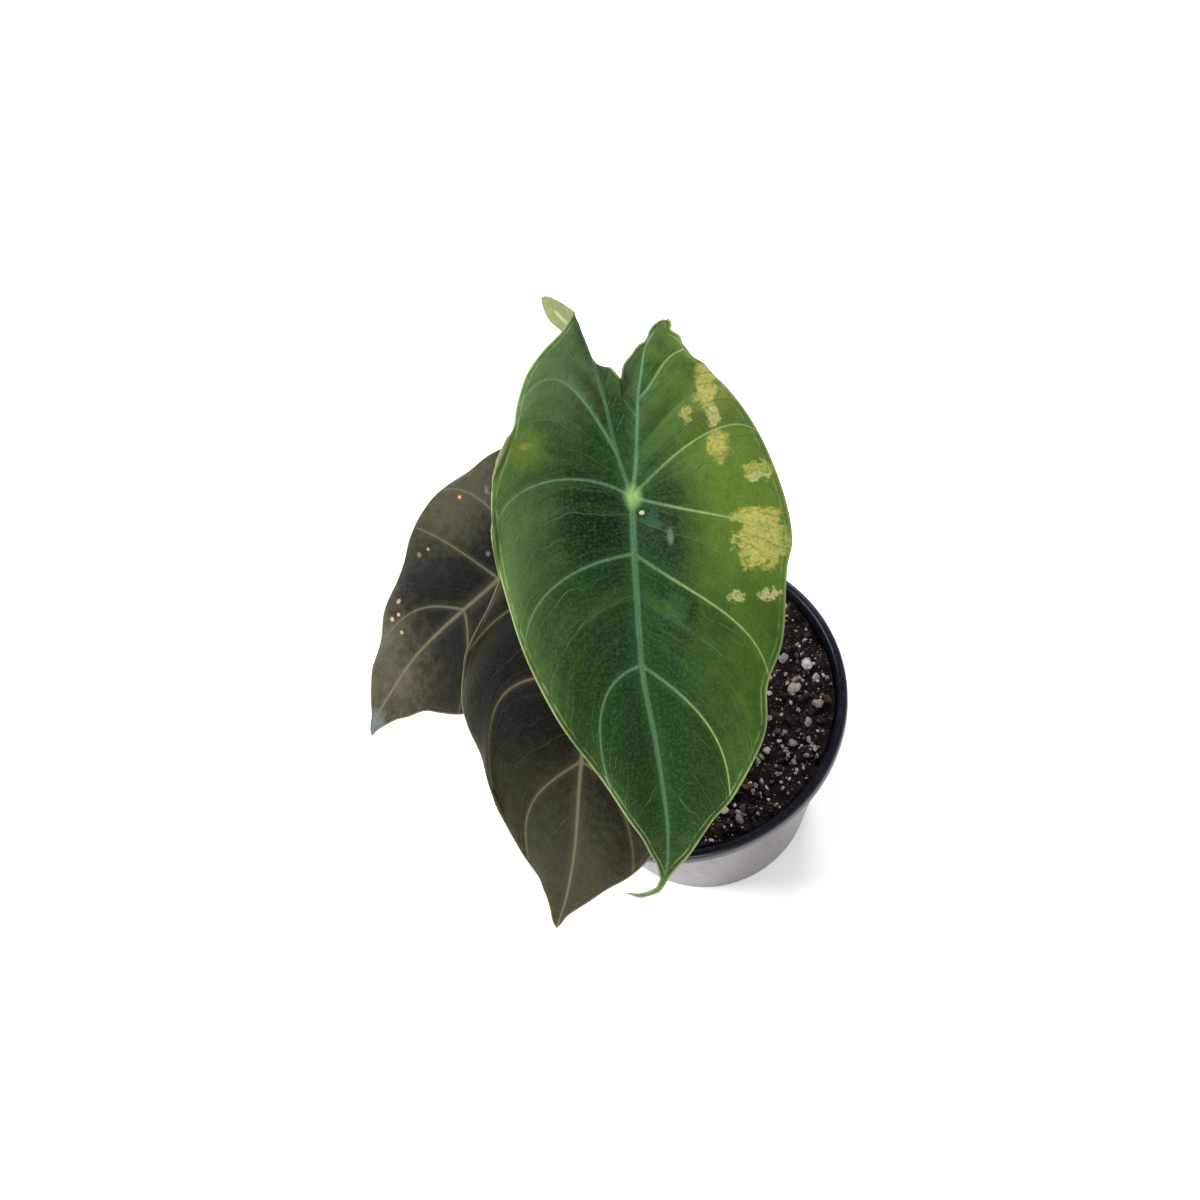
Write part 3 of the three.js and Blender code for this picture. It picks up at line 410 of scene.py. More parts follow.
def blade_shape(leaf):
    """Closed fine blade with raised ribs, pillows between them, waved and curled margins."""
    origin, across, along, normal = leaf_frame(leaf)
    parts = {"flat": [], "spot": [], "web": [], "quads": []}
    margins = []
    for index in (0, 1):
        *_, margin, inner = half_curves(leaf, index)
        rows, start = half_sheet(leaf, index, parts)
        strip_sheet(leaf, index, parts, rows, start)
        margins.append((margin(np.linspace(0, 1, 260)), np.ones(260)))
        margins.append((inner(np.linspace(0, 1, 90)), np.ones(90)))
    ribs = rib_lines(leaf)
    mids = ribs[0][0]
    flat, spot, web, quads = (np.vstack(part) for part in parts.values())
    _, keep, back = np.unique(np.round(flat, 3), axis=0, return_index=True, return_inverse=True)
    back = back.reshape(-1)
    flat, spot, web, quads = flat[keep], spot[keep], web[keep], back[quads]
    rib_gap, rib_width = nearest(flat, ribs)
    edge_gap, _ = nearest(flat, margins)
    spine_gap, _ = nearest(flat, [(mids, np.ones(len(mids)))])
    ridge = np.exp(-(rib_gap / (0.8 * rib_width)) ** 2)
    fade = smooth(edge_gap / 3)
    spot[:, 2] += RIB_LIFT * ridge * rib_width * fade
    top = origin + spot[:, :1] * across + spot[:, 1:2] * along + spot[:, 2:] * normal
    faces = [list(dict.fromkeys(q)) for q in quads.tolist()]
    faces = [f for f in faces if len(f) > 2]
    normals = point_normals(top, faces)
    thick = EDGE_THICK + MORE_THICK * fade
    deep = thick + ridge * rib_width * RIB_KEEL * fade
    under = top - normals * deep[:, None]
    total = len(top)
    edges = open_edges(faces)
    rim = sorted({v for pair in edges for v in pair})
    rim_at = {v: 2 * total + i for i, v in enumerate(rim)}
    push = np.zeros_like(top)
    for a, b in edges:
        side_way = np.cross(top[b] - top[a], normals[a])
        push[a] += side_way
        push[b] += side_way
    push /= np.maximum(np.linalg.norm(push, axis=1), 1e-12)[:, None]
    rim_points = (top[rim] + under[rim]) / 2 + push[rim] * RIM_PUSH
    all_points = np.vstack([top, under, rim_points])
    all_faces = list(faces) + [[v + total for v in reversed(f)] for f in faces]
    for a, b in edges:
        all_faces.append([b, a, rim_at[a], rim_at[b]])
        all_faces.append([rim_at[b], rim_at[a], a + total, b + total])

    def three(a, b, c):
        return np.stack([np.concatenate([v, v, v[rim]]) for v in (a, b, c)], -1)
    place = three(flat[:, 0], flat[:, 1], flat[:, 0])
    place[:, 2] = np.concatenate([np.zeros(total), np.ones(total), np.full(len(rim), 0.5)])
    line = three(rib_gap / rib_width, edge_gap, spine_gap)
    return all_points, all_faces, {"leaf_place": place, "leaf_web": three(*web.T), "leaf_line": line}


def blade_mesh(leaf, name):
    points, faces, values = blade_shape(leaf)
    low, high = (np.array(corner) / MM for corner in CAD_BOX)
    mesh = make_mesh(name, np.clip(points, low + BOX_MARGIN, high - BOX_MARGIN), faces)
    mesh.validate()
    for key, value in values.items():
        store(mesh, key, value)
    return mesh


def make_mesh(name, points, faces, smooth_faces=True):
    """Mesh of points in millimetres."""
    mesh = bpy.data.meshes.new(name)
    mesh.from_pydata((np.asarray(points) * MM).tolist(), [], faces)
    mesh.polygons.foreach_set("use_smooth", [smooth_faces] * len(mesh.polygons))
    return mesh


def store(mesh, name, values):
    made = mesh.attributes.new(name, "FLOAT_VECTOR", "POINT")
    made.data.foreach_set("vector", np.asarray(values, np.float32).ravel())


def blade_height(leaf, c, a, t, between, edge, row_length):
    h = -np.where(a > 0, leaf["arch"], leaf["back"]) * a * a
    h = h + leaf["channel"] * (np.sqrt(c * c + 25) - 5) - leaf["droop"] * c * c
    full = smooth(row_length / 25)
    ripple = np.sin(2 * np.pi * (3.3 * edge + leaf["phase"])) + 0.5 * np.sin(2 * np.pi * (7.1 * edge + 0.2))
    h = h + leaf["wave"] * full * t ** 3 * ripple
    h = h + leaf["puff"] * full * np.sin(np.pi * between) * np.clip(4 * t * (1 - t), 0, 1) ** 0.7
    return h


def fold_down(leaf, index, spot):
    """Folds the inner edge of the left-hand lobe down and back under itself."""
    fold = leaf.get("fold")
    if not fold or index != 0:
        return spot
    start, end = np.array(fold["start"]), np.array(fold["end"])
    length = np.linalg.norm(end - start)
    u = (end - start) / length
    rel = spot[..., :2] - start
    d = rel[..., 0] * u[1] - rel[..., 1] * u[0]
    share = 1 - smooth((rel @ u - length + 1) / 6.5)
    on = (d > 0) & (share > 0) & (spot[..., 1] <= -25)
    d = np.where(on, d, 0)
    share = np.where(on, share, 1)
    radius = fold["radius"] / np.maximum(share, 0.15)
    turn = fold["turn"] * share
    forward, drop = bend(d, radius, turn)
    out = spot.copy()
    out[..., 0] += u[1] * (forward - d)
    out[..., 1] -= u[0] * (forward - d)
    out[..., 2] -= drop
    return out


def add_piece(mesh, name, slot, replaces, material, body="root"):
    piece = bpy.data.objects.new(name, mesh)
    bpy.context.scene.collection.objects.link(piece)
    mesh.materials.clear()
    mesh.materials.append(material)
    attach(piece, body)
    if replaces:
        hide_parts(replaces)
    return piece


# Shader building
def srgb(r, g, b):
    """Linear colour of an ordinary 0-255 screen colour."""
    def line(v):
        v /= 255
        return v / 12.92 if v <= 0.04045 else ((v + 0.055) / 1.055) ** 2.4
    return (line(r), line(g), line(b), 1)


class Value:
    """Output of a node, which arithmetic signs turn into further nodes."""

    def __init__(self, shader, socket):
        self.shader = shader
        self.socket = socket

    def __add__(self, other):
        return self.shader.math("ADD", self, other)

    def __sub__(self, other):
        return self.shader.math("SUBTRACT", self, other)

    def __mul__(self, other):
        return self.shader.math("MULTIPLY", self, other)

    def __abs__(self):
        return self.shader.math("ABSOLUTE", self)

    __radd__ = __add__
    __rmul__ = __mul__


class Shader:
    """Short names for the nodes of one material."""

    def __init__(self, name):
        self.material = bpy.data.materials.new(name)
        self.material.use_nodes = True
        self.nodes = self.material.node_tree.nodes
        self.links = self.material.node_tree.links
        self.nodes.clear()
        self.bsdf = self.nodes.new("ShaderNodeBsdfPrincipled")
        out = self.nodes.new("ShaderNodeOutputMaterial")
        self.links.new(self.bsdf.outputs[0], out.inputs[0])
        self.base = None

    def put(self, socket, value):
        if isinstance(value, Value):
            self.links.new(value.socket, socket)
        elif isinstance(value, (int, float)) or len(value) == len(socket.default_value):
            socket.default_value = value
        else:
            socket.default_value = value[:len(socket.default_value)]

    def set(self, name, value):
        self.put(self.bsdf.inputs[name], value)

    def new(self, kind):
        return self.nodes.new("ShaderNode" + kind)

    def fill(self, node, inputs, output=0):
        """Fills a node's inputs, by name or number, and gives one of its outputs."""
        for key, value in inputs.items():
            self.put(node.inputs[key], value)
        return Value(self, node.outputs[output])

    def math(self, op, a, b=0.0):
        node = self.new("Math")
        node.operation = op
        return self.fill(node, {0: a, 1: b})

    def centred(self, value, amount):
        """A value of 0 to 1 as a sway of the given amount round zero."""
        return (value - 0.5) * amount

    def fall(self, value, low, high):
        """Smooth change from one at low to nothing at high."""
        return self.step(value, low, high, 1, 0)

    def step(self, value, low, high, to_low=0.0, to_high=1.0):
        """Smooth change of value from low to high."""
        node = self.new("MapRange")
        node.interpolation_type = "SMOOTHSTEP"
        return self.fill(node, dict(enumerate((value, low, high, to_low, to_high))))

    def mix(self, factor, a, b):
        node = self.new("Mix")
        node.data_type = "RGBA"
        return self.fill(node, {0: factor, 6: a, 7: b}, 2)

    def paint(self, factor, colour):
        """Lays a colour over what is there."""
        self.base = self.mix(factor, self.base, colour)

    def attribute(self, name):
        """The three parts of a stored vector."""
        node = self.new("Attribute")
        node.attribute_name = name
        return self.split(Value(self, node.outputs["Vector"]))

    def split(self, vector):
        node = self.new("SeparateXYZ")
        self.put(node.inputs[0], vector)
        return [Value(self, output) for output in node.outputs]

    def join(self, x, y, z):
        return self.fill(self.new("CombineXYZ"), {0: x, 1: y, 2: z})

    def place(self):
        return Value(self, self.new("TexCoord").outputs["Object"])

    def noise(self, vector, scale, detail=3.0, rough=0.5, distortion=0.0):
        return self.fill(self.new("TexNoise"), {"Vector": vector, "Scale": scale, "Detail": detail,
                                                "Roughness": rough, "Distortion": distortion})

    def cells(self, vector, scale):
        return self.fill(self.new("TexVoronoi"), {"Vector": vector, "Scale": scale}, "Distance")

    def blot(self, c, a, wobble, at, size, soft=0.6):
        """Soft oval patch at a place on the leaf, its edge broken up by a noise."""
        dx = (c - at[0]) * (1 / size[0])
        dy = (a - at[1]) * (1 / size[1])
        far = self.math("SQRT", dx * dx + dy * dy)
        return self.fall(far + wobble, 1 - soft / 2, 1 + soft / 2)

    def bump(self, height, strength, distance):
        return self.fill(self.new("Bump"), {"Strength": strength, "Distance": distance, "Height": height})


def shown(r, g, b):
    """Base colour of a leaf that the studio light shows as this screen colour."""
    return tuple(max(v - LEAF_GLOSS, 0.0015) / LEAF_LIGHT for v in srgb(r, g, b)[:3]) + (1,)


def leaf_material(name, tone):
    """Leaf surface: tone by zone, ribs, side veins, pale margin, marks, painted shade and painted
    highlights above; matt pale ribs below.
    """
    tone = SimpleNamespace(**{key: shown(*value) if isinstance(value, tuple) else value
                              for key, value in tone.items()})
    m = Shader(name)
    c, a, face = m.attribute("leaf_place")
    row, t, gap = m.attribute("leaf_web")
    rib, edge, spine = m.attribute("leaf_line")
    flat = m.join(c, a, face * 40.0)
    broad = m.noise(flat, 0.045, 3)
    medium = m.noise(flat, 0.22, 4)
    fine = m.noise(flat, 1.1, 5, 0.65)
    cells = m.noise(flat, 5.0, 2, 0.6)
    streak = m.noise(m.join(row * 4.0, t * 1.2, face), 1.0, 4, 0.6)
    wobble = m.centred(m.noise(flat, 0.30, 4, 0.6), 1.5)
    bent = [v + m.centred(m.noise(m.join(c, a, z), 0.42, 5, 0.65), 7.0) for v, z in ((c, 7.0), (a, 19.0))]
    crease = m.noise(m.join(bent[0] * 0.5, bent[1] * 1.4, 5.0), 1.0, 4, 0.6)
    sway = m.centred(streak, 0.7) + m.centred(medium, 0.5)
    m.base = m.mix(m.step(broad, 0.35, 0.65), tone.deep, tone.mid)
    m.paint(m.step(c * (1 / HALF_WIDTH) + sway, 0.05, 1.0), tone.right)
    m.paint(m.step(c * (-1 / HALF_WIDTH) + sway, 0.2, 1.0), tone.left)
    m.paint(m.fall(edge + wobble * 2.0, 0.5, 8.0) * 0.4, tone.edge)
    for at, size, colour, share, soft in tone.patches:
        near = (c, a) if size[0] < 1.35 else bent
        patch = m.blot(*near, wobble * min(1.0, size[0] / 4), at, size, soft) * share
        # painted reflections of warm light, broken up by the leaf's creases
        if colour in (GOLD_GLARE, PALE_GOLD_GLARE):
            patch = patch * m.step(crease, 0.36, 0.5, 0.35, 1)
        m.paint(patch, shown(*colour))
    m.paint(m.step(fine, 0.42, 0.72) * tone.mottle, tone.fleck)
    m.paint(m.step(streak, 0.5, 0.75) * tone.mottle, tone.fleck)
    m.paint(m.step(cells, 0.54, 0.68) * tone.grain, tone.vein)
    # side veins run with the ribs, in two ranks, both broken up
    wander = m.centred(m.noise(flat, 0.09, 2), 0.22)
    room = m.step(gap, 3.0, 9.0)
    rank = m.noise(m.join(m.math("FLOOR", (row + wander) * 4.0), 3.0, t * 1.5), 1.0, 1)
    line = m.math("FRACT", (row + wander) * 4.0)
    off = abs(line - 0.5) * (gap * 0.25)
    side_vein = m.fall(off, 0.02, 0.26) * room * m.step(rank, 0.4, 0.65)
    line2 = m.math("FRACT", (row + wander * 1.8) * 17.0)
    off2 = abs(line2 - 0.5) * (gap * (1 / 17))
    broken = room * m.step(m.noise(flat, 0.4, 3), 0.4, 0.7)
    thin_vein = m.fall(off2, 0.0, 0.17) * broken
    hoop = abs(edge - (1.5 + wander * 5.0))
    hoop = m.fall(hoop, 0.05, 0.32) * m.step(medium, 0.35, 0.6)
    m.paint(thin_vein * tone.thin, tone.vein)
    m.paint(side_vein * tone.side, tone.vein)
    m.paint(hoop * tone.hoop, tone.rim)
    m.paint(m.fall(rib, 0.6, 4.2) * tone.halo, tone.vein)
    strip = m.fall(t, -0.1, -0.03) * m.fall(a, -32.0, -25.0)
    m.paint(strip * 0.7, tone.strip)
    out = m.step(c, 3.0, 18.0)
    vein = m.mix(out, tone.vein, tone.vein_far)
    worn = 0.75 + m.step(fine, 0.3, 0.6) * 0.25
    m.paint(m.fall(rib, 0.25, 1.15) * tone.rib * worn, vein)
    m.paint(m.fall(spine, 0.0, 0.4) * tone.core, tone.core_tone)
    m.paint(m.blot(c, a, wobble * 0.3, (0.3, 0), (1.9, 2.6), 1.6), tone.heart)
    m.paint(m.fall(edge, 0.1, 0.75) * 0.85, tone.rim)
    under = m.mix(medium, tone.under, tone.under2)
    under = m.mix(m.fall(rib, 0.7, 1.6), under, tone.under_vein)
    under = m.mix(side_vein * 0.35, under, tone.under_vein)
    m.paint(m.step(face, 0.55, 0.95), under)
    m.set("Base Color", m.base)
    m.set("Roughness", tone.rough + m.centred(fine, 0.3))
    m.set("Specular IOR Level", tone.shine)
    relief = side_vein * -0.35 + (thin_vein * -0.15 + cells * 0.1)
    relief = relief + (medium * 0.8 + fine * 0.4)
    m.set("Normal", m.bump(relief, 0.8, 0.0009))
    return m.material


# Colours of painted reflections: golden glare on the right half of the green leaf
GOLD_GLARE = (216, 208, 112)
PALE_GOLD_GLARE = (228, 222, 150)
SHADE = (18, 36, 28)
GREEN = dict(
    deep=(16, 44, 22), mid=(32, 68, 30), right=(112, 144, 48), left=(74, 94, 50),
    edge=(100, 128, 60), fleck=(80, 114, 54), vein=(98, 140, 98), vein_far=(158, 188, 106),
    heart=(160, 200, 116), core=0.5, core_tone=(76, 108, 84), rim=(168, 188, 122),
    strip=(66, 88, 50), under=(156, 164, 114), under2=(134, 148, 94),
    under_vein=(184, 192, 146),
    rough=0.46, shine=0.08, side=0.45, thin=0.34, hoop=0.45, halo=0.10, rib=0.95, mottle=0.45, grain=0.20,
    patches=[
        ((4, 74), (34, 48), (26, 58, 22), 0.72, 1.3),
        ((26, 36), (12, 18), (60, 96, 34), 0.5, 1.5),
        ((24, -22), (16, 20), (112, 134, 58), 0.5, 1.6),
        # painted shade in the hollows either side of the midrib
        ((-10, 6), (9, 12), (9, 26, 20), 0.92, 1.1),
        ((10, 8), (8.5, 14), (16, 38, 20), 0.9, 1.2),
        ((-6, 40), (9, 26), (30, 60, 36), 0.6, 1.6),
        ((10, 31.9), (5.5, 7.5), SHADE, 0.8, 0.8),
        ((9.2, 30.6), (3.2, 4.4), (52, 84, 42), 0.85, 0.9),
        ((20.5, 34.3), (3.2, 8), (38, 72, 30), 0.7, 1.2),
        ((-16.7, -38.6), (11, 16), (104, 122, 80), 0.6, 1.6),
        # painted highlights: a teal glint and a pale sheen
        ((5.3, 7), (1.6, 2.6), (52, 92, 84), 0.7, 1.0),
        ((9.5, 11.8), (0.8, 2.2), (120, 146, 120), 0.7, 0.9),
        ((-9, 108), (6, 3), (178, 190, 146), 0.8, 1.0),
        ((24, 8), (9, 20), (112, 140, 54), 0.45, 1.6),
        ((2.3, 4.5), (0.7, 0.6), (236, 226, 190), 1.0, 0.5),
        ((-27, -15.7), (5, 5.2), (100, 124, 42), 0.75, 1.3),
        ((-27.5, -16.6), (1.7, 1.6), (146, 134, 82), 0.9, 0.6),
        ((26.7, -25.7), (8, 5.5), (142, 156, 76), 0.7, 0.9),
        # painted reflections of warm light: golden glare patches
        ((22.5, -26.8), (2.6, 7), GOLD_GLARE, 0.8, 0.6),
        ((16.6, -20.2), (1.6, 2.2), GOLD_GLARE, 0.6, 0.8),
        ((23.7, -18.7), (1.4, 2.9), PALE_GOLD_GLARE, 0.8, 0.6),
        ((24.3, -10.7), (2.8, 4), GOLD_GLARE, 0.75, 0.7),
        ((33.9, -3.8), (4.4, 1.5), GOLD_GLARE, 0.7, 0.6),
        ((34.6, -1.4), (3.6, 1.0), PALE_GOLD_GLARE, 0.8, 0.5),
        ((33.4, 14.7), (6.6, 8), GOLD_GLARE, 0.92, 0.35),
        ((30.5, 8.6), (4, 2.2), GOLD_GLARE, 0.8, 0.5),
        ((25.7, 29.3), (1.9, 1.5), PALE_GOLD_GLARE, 0.8, 0.7),
        ((33.8, 29.5), (3, 1.3), PALE_GOLD_GLARE, 0.9, 0.5),
    ],
)
DARK = dict(
    deep=(6, 7, 4), mid=(16, 17, 11), right=(46, 46, 32), left=(18, 20, 13),
    edge=(60, 59, 42), fleck=(56, 54, 40), vein=(116, 114, 88), vein_far=(96, 94, 70),
    heart=(130, 132, 100), core=0.3, core_tone=(146, 142, 112), rim=(124, 118, 90),
    strip=(40, 40, 30), under=(92, 70, 70), under2=(100, 88, 76), under_vein=(140, 136, 108),
    rough=0.44, shine=0.06, side=0.16, thin=0.10, hoop=0.2, halo=0.14, rib=0.75, mottle=0.36, grain=0.14,
    patches=[],
)
DARK_FRONT = dict(DARK, patches=[
    ((-2, 82), (16, 22), (84, 86, 62), 0.6, 1.6),
    ((-16, 60), (14, 16), (58, 60, 42), 0.5, 1.6),
])
RESIDUE = (150, 140, 126)
SPARK = (236, 190, 140)
DARK_MARKED = dict(DARK, patches=[
    # painted bluish sheen
    ((-17.1, 58.9), (6, 10), (66, 78, 84), 0.6, 1.4),
    ((-3.9, 62.3), (6, 5), (92, 86, 74), 0.4, 1.6),
    ((-18, 66), (22, 18), (116, 110, 88), 0.6, 1.6),
    ((-34, 2), (14, 20), (104, 102, 80), 0.55, 1.6),
    ((-1.4, 80.6), (3.2, 5), (116, 134, 128), 0.85, 1.2),
    ((-33.5, 3.2), (1.3, 1.0), (150, 84, 54), 0.95, 0.6),
    ((-33.5, 3.2), (0.6, 0.45), (240, 205, 170), 1.0, 0.4),
    ((-20.8, 49.8), (0.9, 0.7), SPARK, 0.95, 0.6),
    ((-20, 46.9), (0.7, 0.6), SPARK, 0.9, 0.6),
    ((-23.3, 43.7), (0.7, 0.9), SPARK, 0.7, 0.6),
    ((-14.3, 50.1), (0.8, 0.6), SPARK, 0.7, 0.6),
    ((-26.9, -5.4), (1.4, 1.1), RESIDUE, 0.5, 1.2),
    ((-29.6, 27.3), (1.0, 0.8), RESIDUE, 0.6, 0.9),
    ((-28.2, 23.5), (0.7, 0.5), SPARK, 0.6, 0.8),
    ((-9.7, 8.8), (0.9, 0.8), RESIDUE, 0.6, 0.9),
])


def stem_mesh(stem, name):
    """Round stem swept along its route, grooved where it wraps the crown, narrowing towards the blade."""
    origin, across, along, normal = leaf_frame(stem["leaf"])
    top = origin - normal * 1.7
    x, y = stem["foot"]
    route = curve([(x, y, 72), (x, y, SOIL_LEVEL + 2.5), *stem["route"], tuple(top)], 24)
    rings, around = 90, 36
    share = np.linspace(0, 1, rings + 1)
    centre = route(share)
    travel = route(share + 0.006) - route(share - 0.006)
    travel[0] = (0, 0, 1)
    travel /= np.linalg.norm(travel, axis=1)[:, None]
    turn = smooth((share - 0.75) / 0.25)[:, None]
    up = travel * (1 - turn) + normal * turn
    up /= np.linalg.norm(up, axis=1)[:, None]
    first = np.array([1.0, 0, 0]) - up * up[:, :1]
    first /= np.linalg.norm(first, axis=1)[:, None]
    second = np.cross(up, first)
    radius = stem["radii"][1] + (stem["radii"][0] - stem["radii"][1]) * (1 - share) ** 2
    angle = 2 * np.pi * np.arange(around) / around
    near = np.minimum(angle, 2 * np.pi - angle)
    groove = 0.30 * np.exp(-(near / 0.35) ** 2) - 0.06 * np.exp(-((near - 0.75) / 0.3) ** 2)
    where = smooth(share / 0.2) * (1 - smooth((share - 0.25) / 0.3))
    r = radius[:, None] * (1 - groove[None] * where[:, None])
    points = (centre[:, None] + first[:, None] * (r * np.cos(angle))[..., None]
              + second[:, None] * (r * np.sin(angle))[..., None])
    grid = np.arange((rings + 1) * around).reshape(rings + 1, around)
    nxt = np.roll(grid, -1, axis=1)
    faces = np.stack([grid[:-1], nxt[:-1], nxt[1:], grid[1:]], -1).reshape(-1, 4).tolist()
    faces.append(grid[0][::-1].tolist())
    faces.append(grid[-1].tolist())
    mesh = make_mesh(name, points.reshape(-1, 3), faces)
    length = share * np.linalg.norm(np.diff(centre, axis=0), axis=1).sum()
    turns = [ring * np.ones((rings + 1, 1)) * 2 for ring in (np.cos(angle), np.sin(angle))]
    where = np.dstack([*turns, length[:, None] * np.ones(around)])
    store(mesh, "stem_place", where.reshape(-1, 3))
    for p in mesh.polygons:
        p.use_smooth = len(p.vertices) == 4
    return mesh


def stem_material(name, foot, middle, top, stripe):
    m = Shader(name)
    x, y, z = m.attribute("stem_place")
    streak = m.noise(m.join(x * 2.2, y * 2.2, z * 0.12), 1.0, 4, 0.6)
    mottle = m.noise(m.join(x, y, z * 0.5), 1.3, 3)
    m.base = m.mix(m.step(z, 4, 34), foot, middle)
    m.paint(m.step(z, 45, 95), top)
    m.paint(m.step(streak, 0.45, 0.7) * 0.5, stripe)
    m.paint(m.step(mottle, 0.55, 0.75) * 0.25, foot)
    m.set("Base Color", m.base)
    m.set("Roughness", 0.36 + streak * 0.2)
    m.set("Normal", m.bump(streak + mottle * 0.4, 0.35, 0.0003))
    return m.material


def pot_outline():
    """Outline of the thin pot, radius and height, with its hanging lip, in small rounded steps."""
    foot, wall, lip, top = BASE_RADIUS, INNER_TOP + WALL, LIP_RADIUS, POT_HEIGHT
    skirt = top - LIP_SKIRT
    return [
        (0, 0), (foot - 3.2, 0), (foot - 0.9, 0), (foot - 0.25, 0.25), (foot, 0.9),
        (wall - 0.05, top - 4.1), (wall, top - 3.6), (lip - 2.0, top - 2.5), (lip - 1.7, top - 2.3),
        (lip - 1.3, top - 2.8), (lip - 1.1, skirt + 0.15), (lip - 0.95, skirt), (lip - 0.3, skirt),
        (lip - 0.05, skirt + 0.25), (lip, skirt + 0.7), (lip, top - 1.6), (lip - 0.12, top - 0.95),
        (lip - 0.5, top - 0.4), (lip - 1.0, top - 0.06), (lip - 1.4, top), (lip - 1.9, top - 0.08),
        (lip - 2.4, top - 0.34), (lip - 2.8, top - 0.8), (INNER_TOP + 0.35, top - 1.4),
        (INNER_TOP + 0.12, top - 2.1), (INNER_TOP, top - LIP_DEEP), (INNER_FOOT + 0.35, FLOOR + 2),
        (INNER_FOOT - 0.5, FLOOR + 0.6), (INNER_FOOT - 1.6, FLOOR), (0, FLOOR),
    ]


def pot_mesh():
    outline = pot_outline()
    around = 192
    bm = bmesh.new()
    rings = []
    for r, z in outline:
        if r == 0:
            rings.append([bm.verts.new((0, 0, z * MM))])
        else:
            rings.append([bm.verts.new((r * MM * math.cos(2 * math.pi * j / around),
                                        r * MM * math.sin(2 * math.pi * j / around), z * MM))
                          for j in range(around)])
    for a, b in zip(rings, rings[1:]):
        for j in range(around):
            k = (j + 1) % around
            if len(a) == 1:
                bm.faces.new((a[0], b[k], b[j]))
            elif len(b) == 1:
                bm.faces.new((a[j], a[k], b[0]))
            else:
                bm.faces.new((a[j], a[k], b[k], b[j]))
    bmesh.ops.recalc_face_normals(bm, faces=bm.faces)
    mesh = bpy.data.meshes.new("nursery_pot")
    bm.to_mesh(mesh)
    bm.free()
    pot = bpy.data.objects.new("pot_blank", mesh)
    bpy.context.scene.collection.objects.link(pot)
    cutters = []
    for i in range(6):
        angle = (i + 0.5) * math.pi / 3
        bpy.ops.mesh.primitive_cylinder_add(
            vertices=32, radius=DRAIN_RADIUS * MM, depth=8 * MM,
            location=(DRAIN_CIRCLE * MM * math.cos(angle), DRAIN_CIRCLE * MM * math.sin(angle), 0))
        cutters.append(bpy.context.object)
    for cutter in cutters:
        cut = pot.modifiers.new("drain", "BOOLEAN")
        cut.operation = "DIFFERENCE"
        cut.object = cutter
        cut.solver = "EXACT"
    bpy.context.view_layer.update()
    shape = pot.evaluated_get(bpy.context.evaluated_depsgraph_get())
    done = bpy.data.meshes.new_from_object(shape)
    for thing in [pot, *cutters]:
        bpy.data.objects.remove(thing)
    done.name = "nursery_pot"
    done.polygons.foreach_set("use_smooth", [True] * len(done.polygons))
    done.set_sharp_from_angle(angle=math.radians(42))
    return done


def pot_material():
    """Thin black moulded plastic: faint flow marks, fine scratches, dust, and a pinkish wash over the wall
    below the lip that is a painted reflection of the bright floor.
    """
    m = Shader("pot_plastic")
    place = m.place()
    x, y, z = m.split(place)
    smear = m.noise(m.join(x * 60.0, y * 60.0, z * 14.0), 1.0, 4, 0.6)
    dust = m.noise(place, 420.0, 5, 0.7)
    scratch = m.noise(m.join(x * 900.0, y * 900.0, z * 60.0), 1.0, 2)
    m.base = m.mix(m.step(smear, 0.35, 0.7), srgb(10, 14, 28), srgb(17, 22, 40))
    low = m.fall(z, 0.0, 0.02)
    m.paint(m.step(dust, 0.5, 0.8) * (0.1 + low * 0.2), srgb(120, 104, 98))
    # painted reflection: a pinkish wash over the whole wall below the lip, standing in for glare from the
    # bright floor
    wall = m.fall(z, 0.080, 0.084)
    m.paint(wall * 0.3, srgb(116, 92, 84))
    m.paint(m.step(scratch, 0.66, 0.76) * 0.15, srgb(90, 92, 100))
    m.set("Base Color", m.base)
    rough = smear * 0.16 + m.step(dust, 0.5, 0.8) * 0.22
    m.set("Roughness", rough + 0.2)
    m.set("Specular IOR Level", 0.22)
    m.set("Normal", m.bump(smear + scratch * 0.12, 0.12, 0.0008))
    return m.material


def soil_top(x, y):
    mound = 1.0 * np.exp(-(x * x + (y - 20) ** 2) / 500)
    lumps = (0.7 * np.sin(x * 0.31 + 1.3) * np.sin(y * 0.27 + 0.4)
             + 0.45 * np.sin(x * 0.73 - y * 0.51) + 0.35 * np.sin(y * 0.95 + x * 0.42 + 2))
    return SOIL_LEVEL + mound + lumps


def inner_radius(z):
    return INNER_FOOT + (INNER_TOP - INNER_FOOT) * (z - FLOOR) / (POT_HEIGHT - LIP_DEEP - FLOOR)


def rough_field(x, y, cells, seed):
    """Smooth random height on a grid of the given number of cells across 100 mm."""
    rng = np.random.default_rng(seed)
    table = rng.random((cells + 3, cells + 3))
    u, v = (x + 50) / 100 * cells, (y + 50) / 100 * cells
    i, j = np.floor(u).astype(int), np.floor(v).astype(int)
    f, g = smooth(u - i), smooth(v - j)
    i, j = np.clip(i, 0, cells + 1), np.clip(j, 0, cells + 1)
    return ((table[i, j] * (1 - f) + table[i + 1, j] * f) * (1 - g)
            + (table[i, j + 1] * (1 - f) + table[i + 1, j + 1] * f) * g)


def soil_surface(x, y):
    h = soil_top(x, y)
    for cells, size in ((22, 1.3), (47, 0.9), (95, 0.55)):
        h = h + size * (rough_field(x, y, cells, cells) - 0.5)
    return h - 0.3


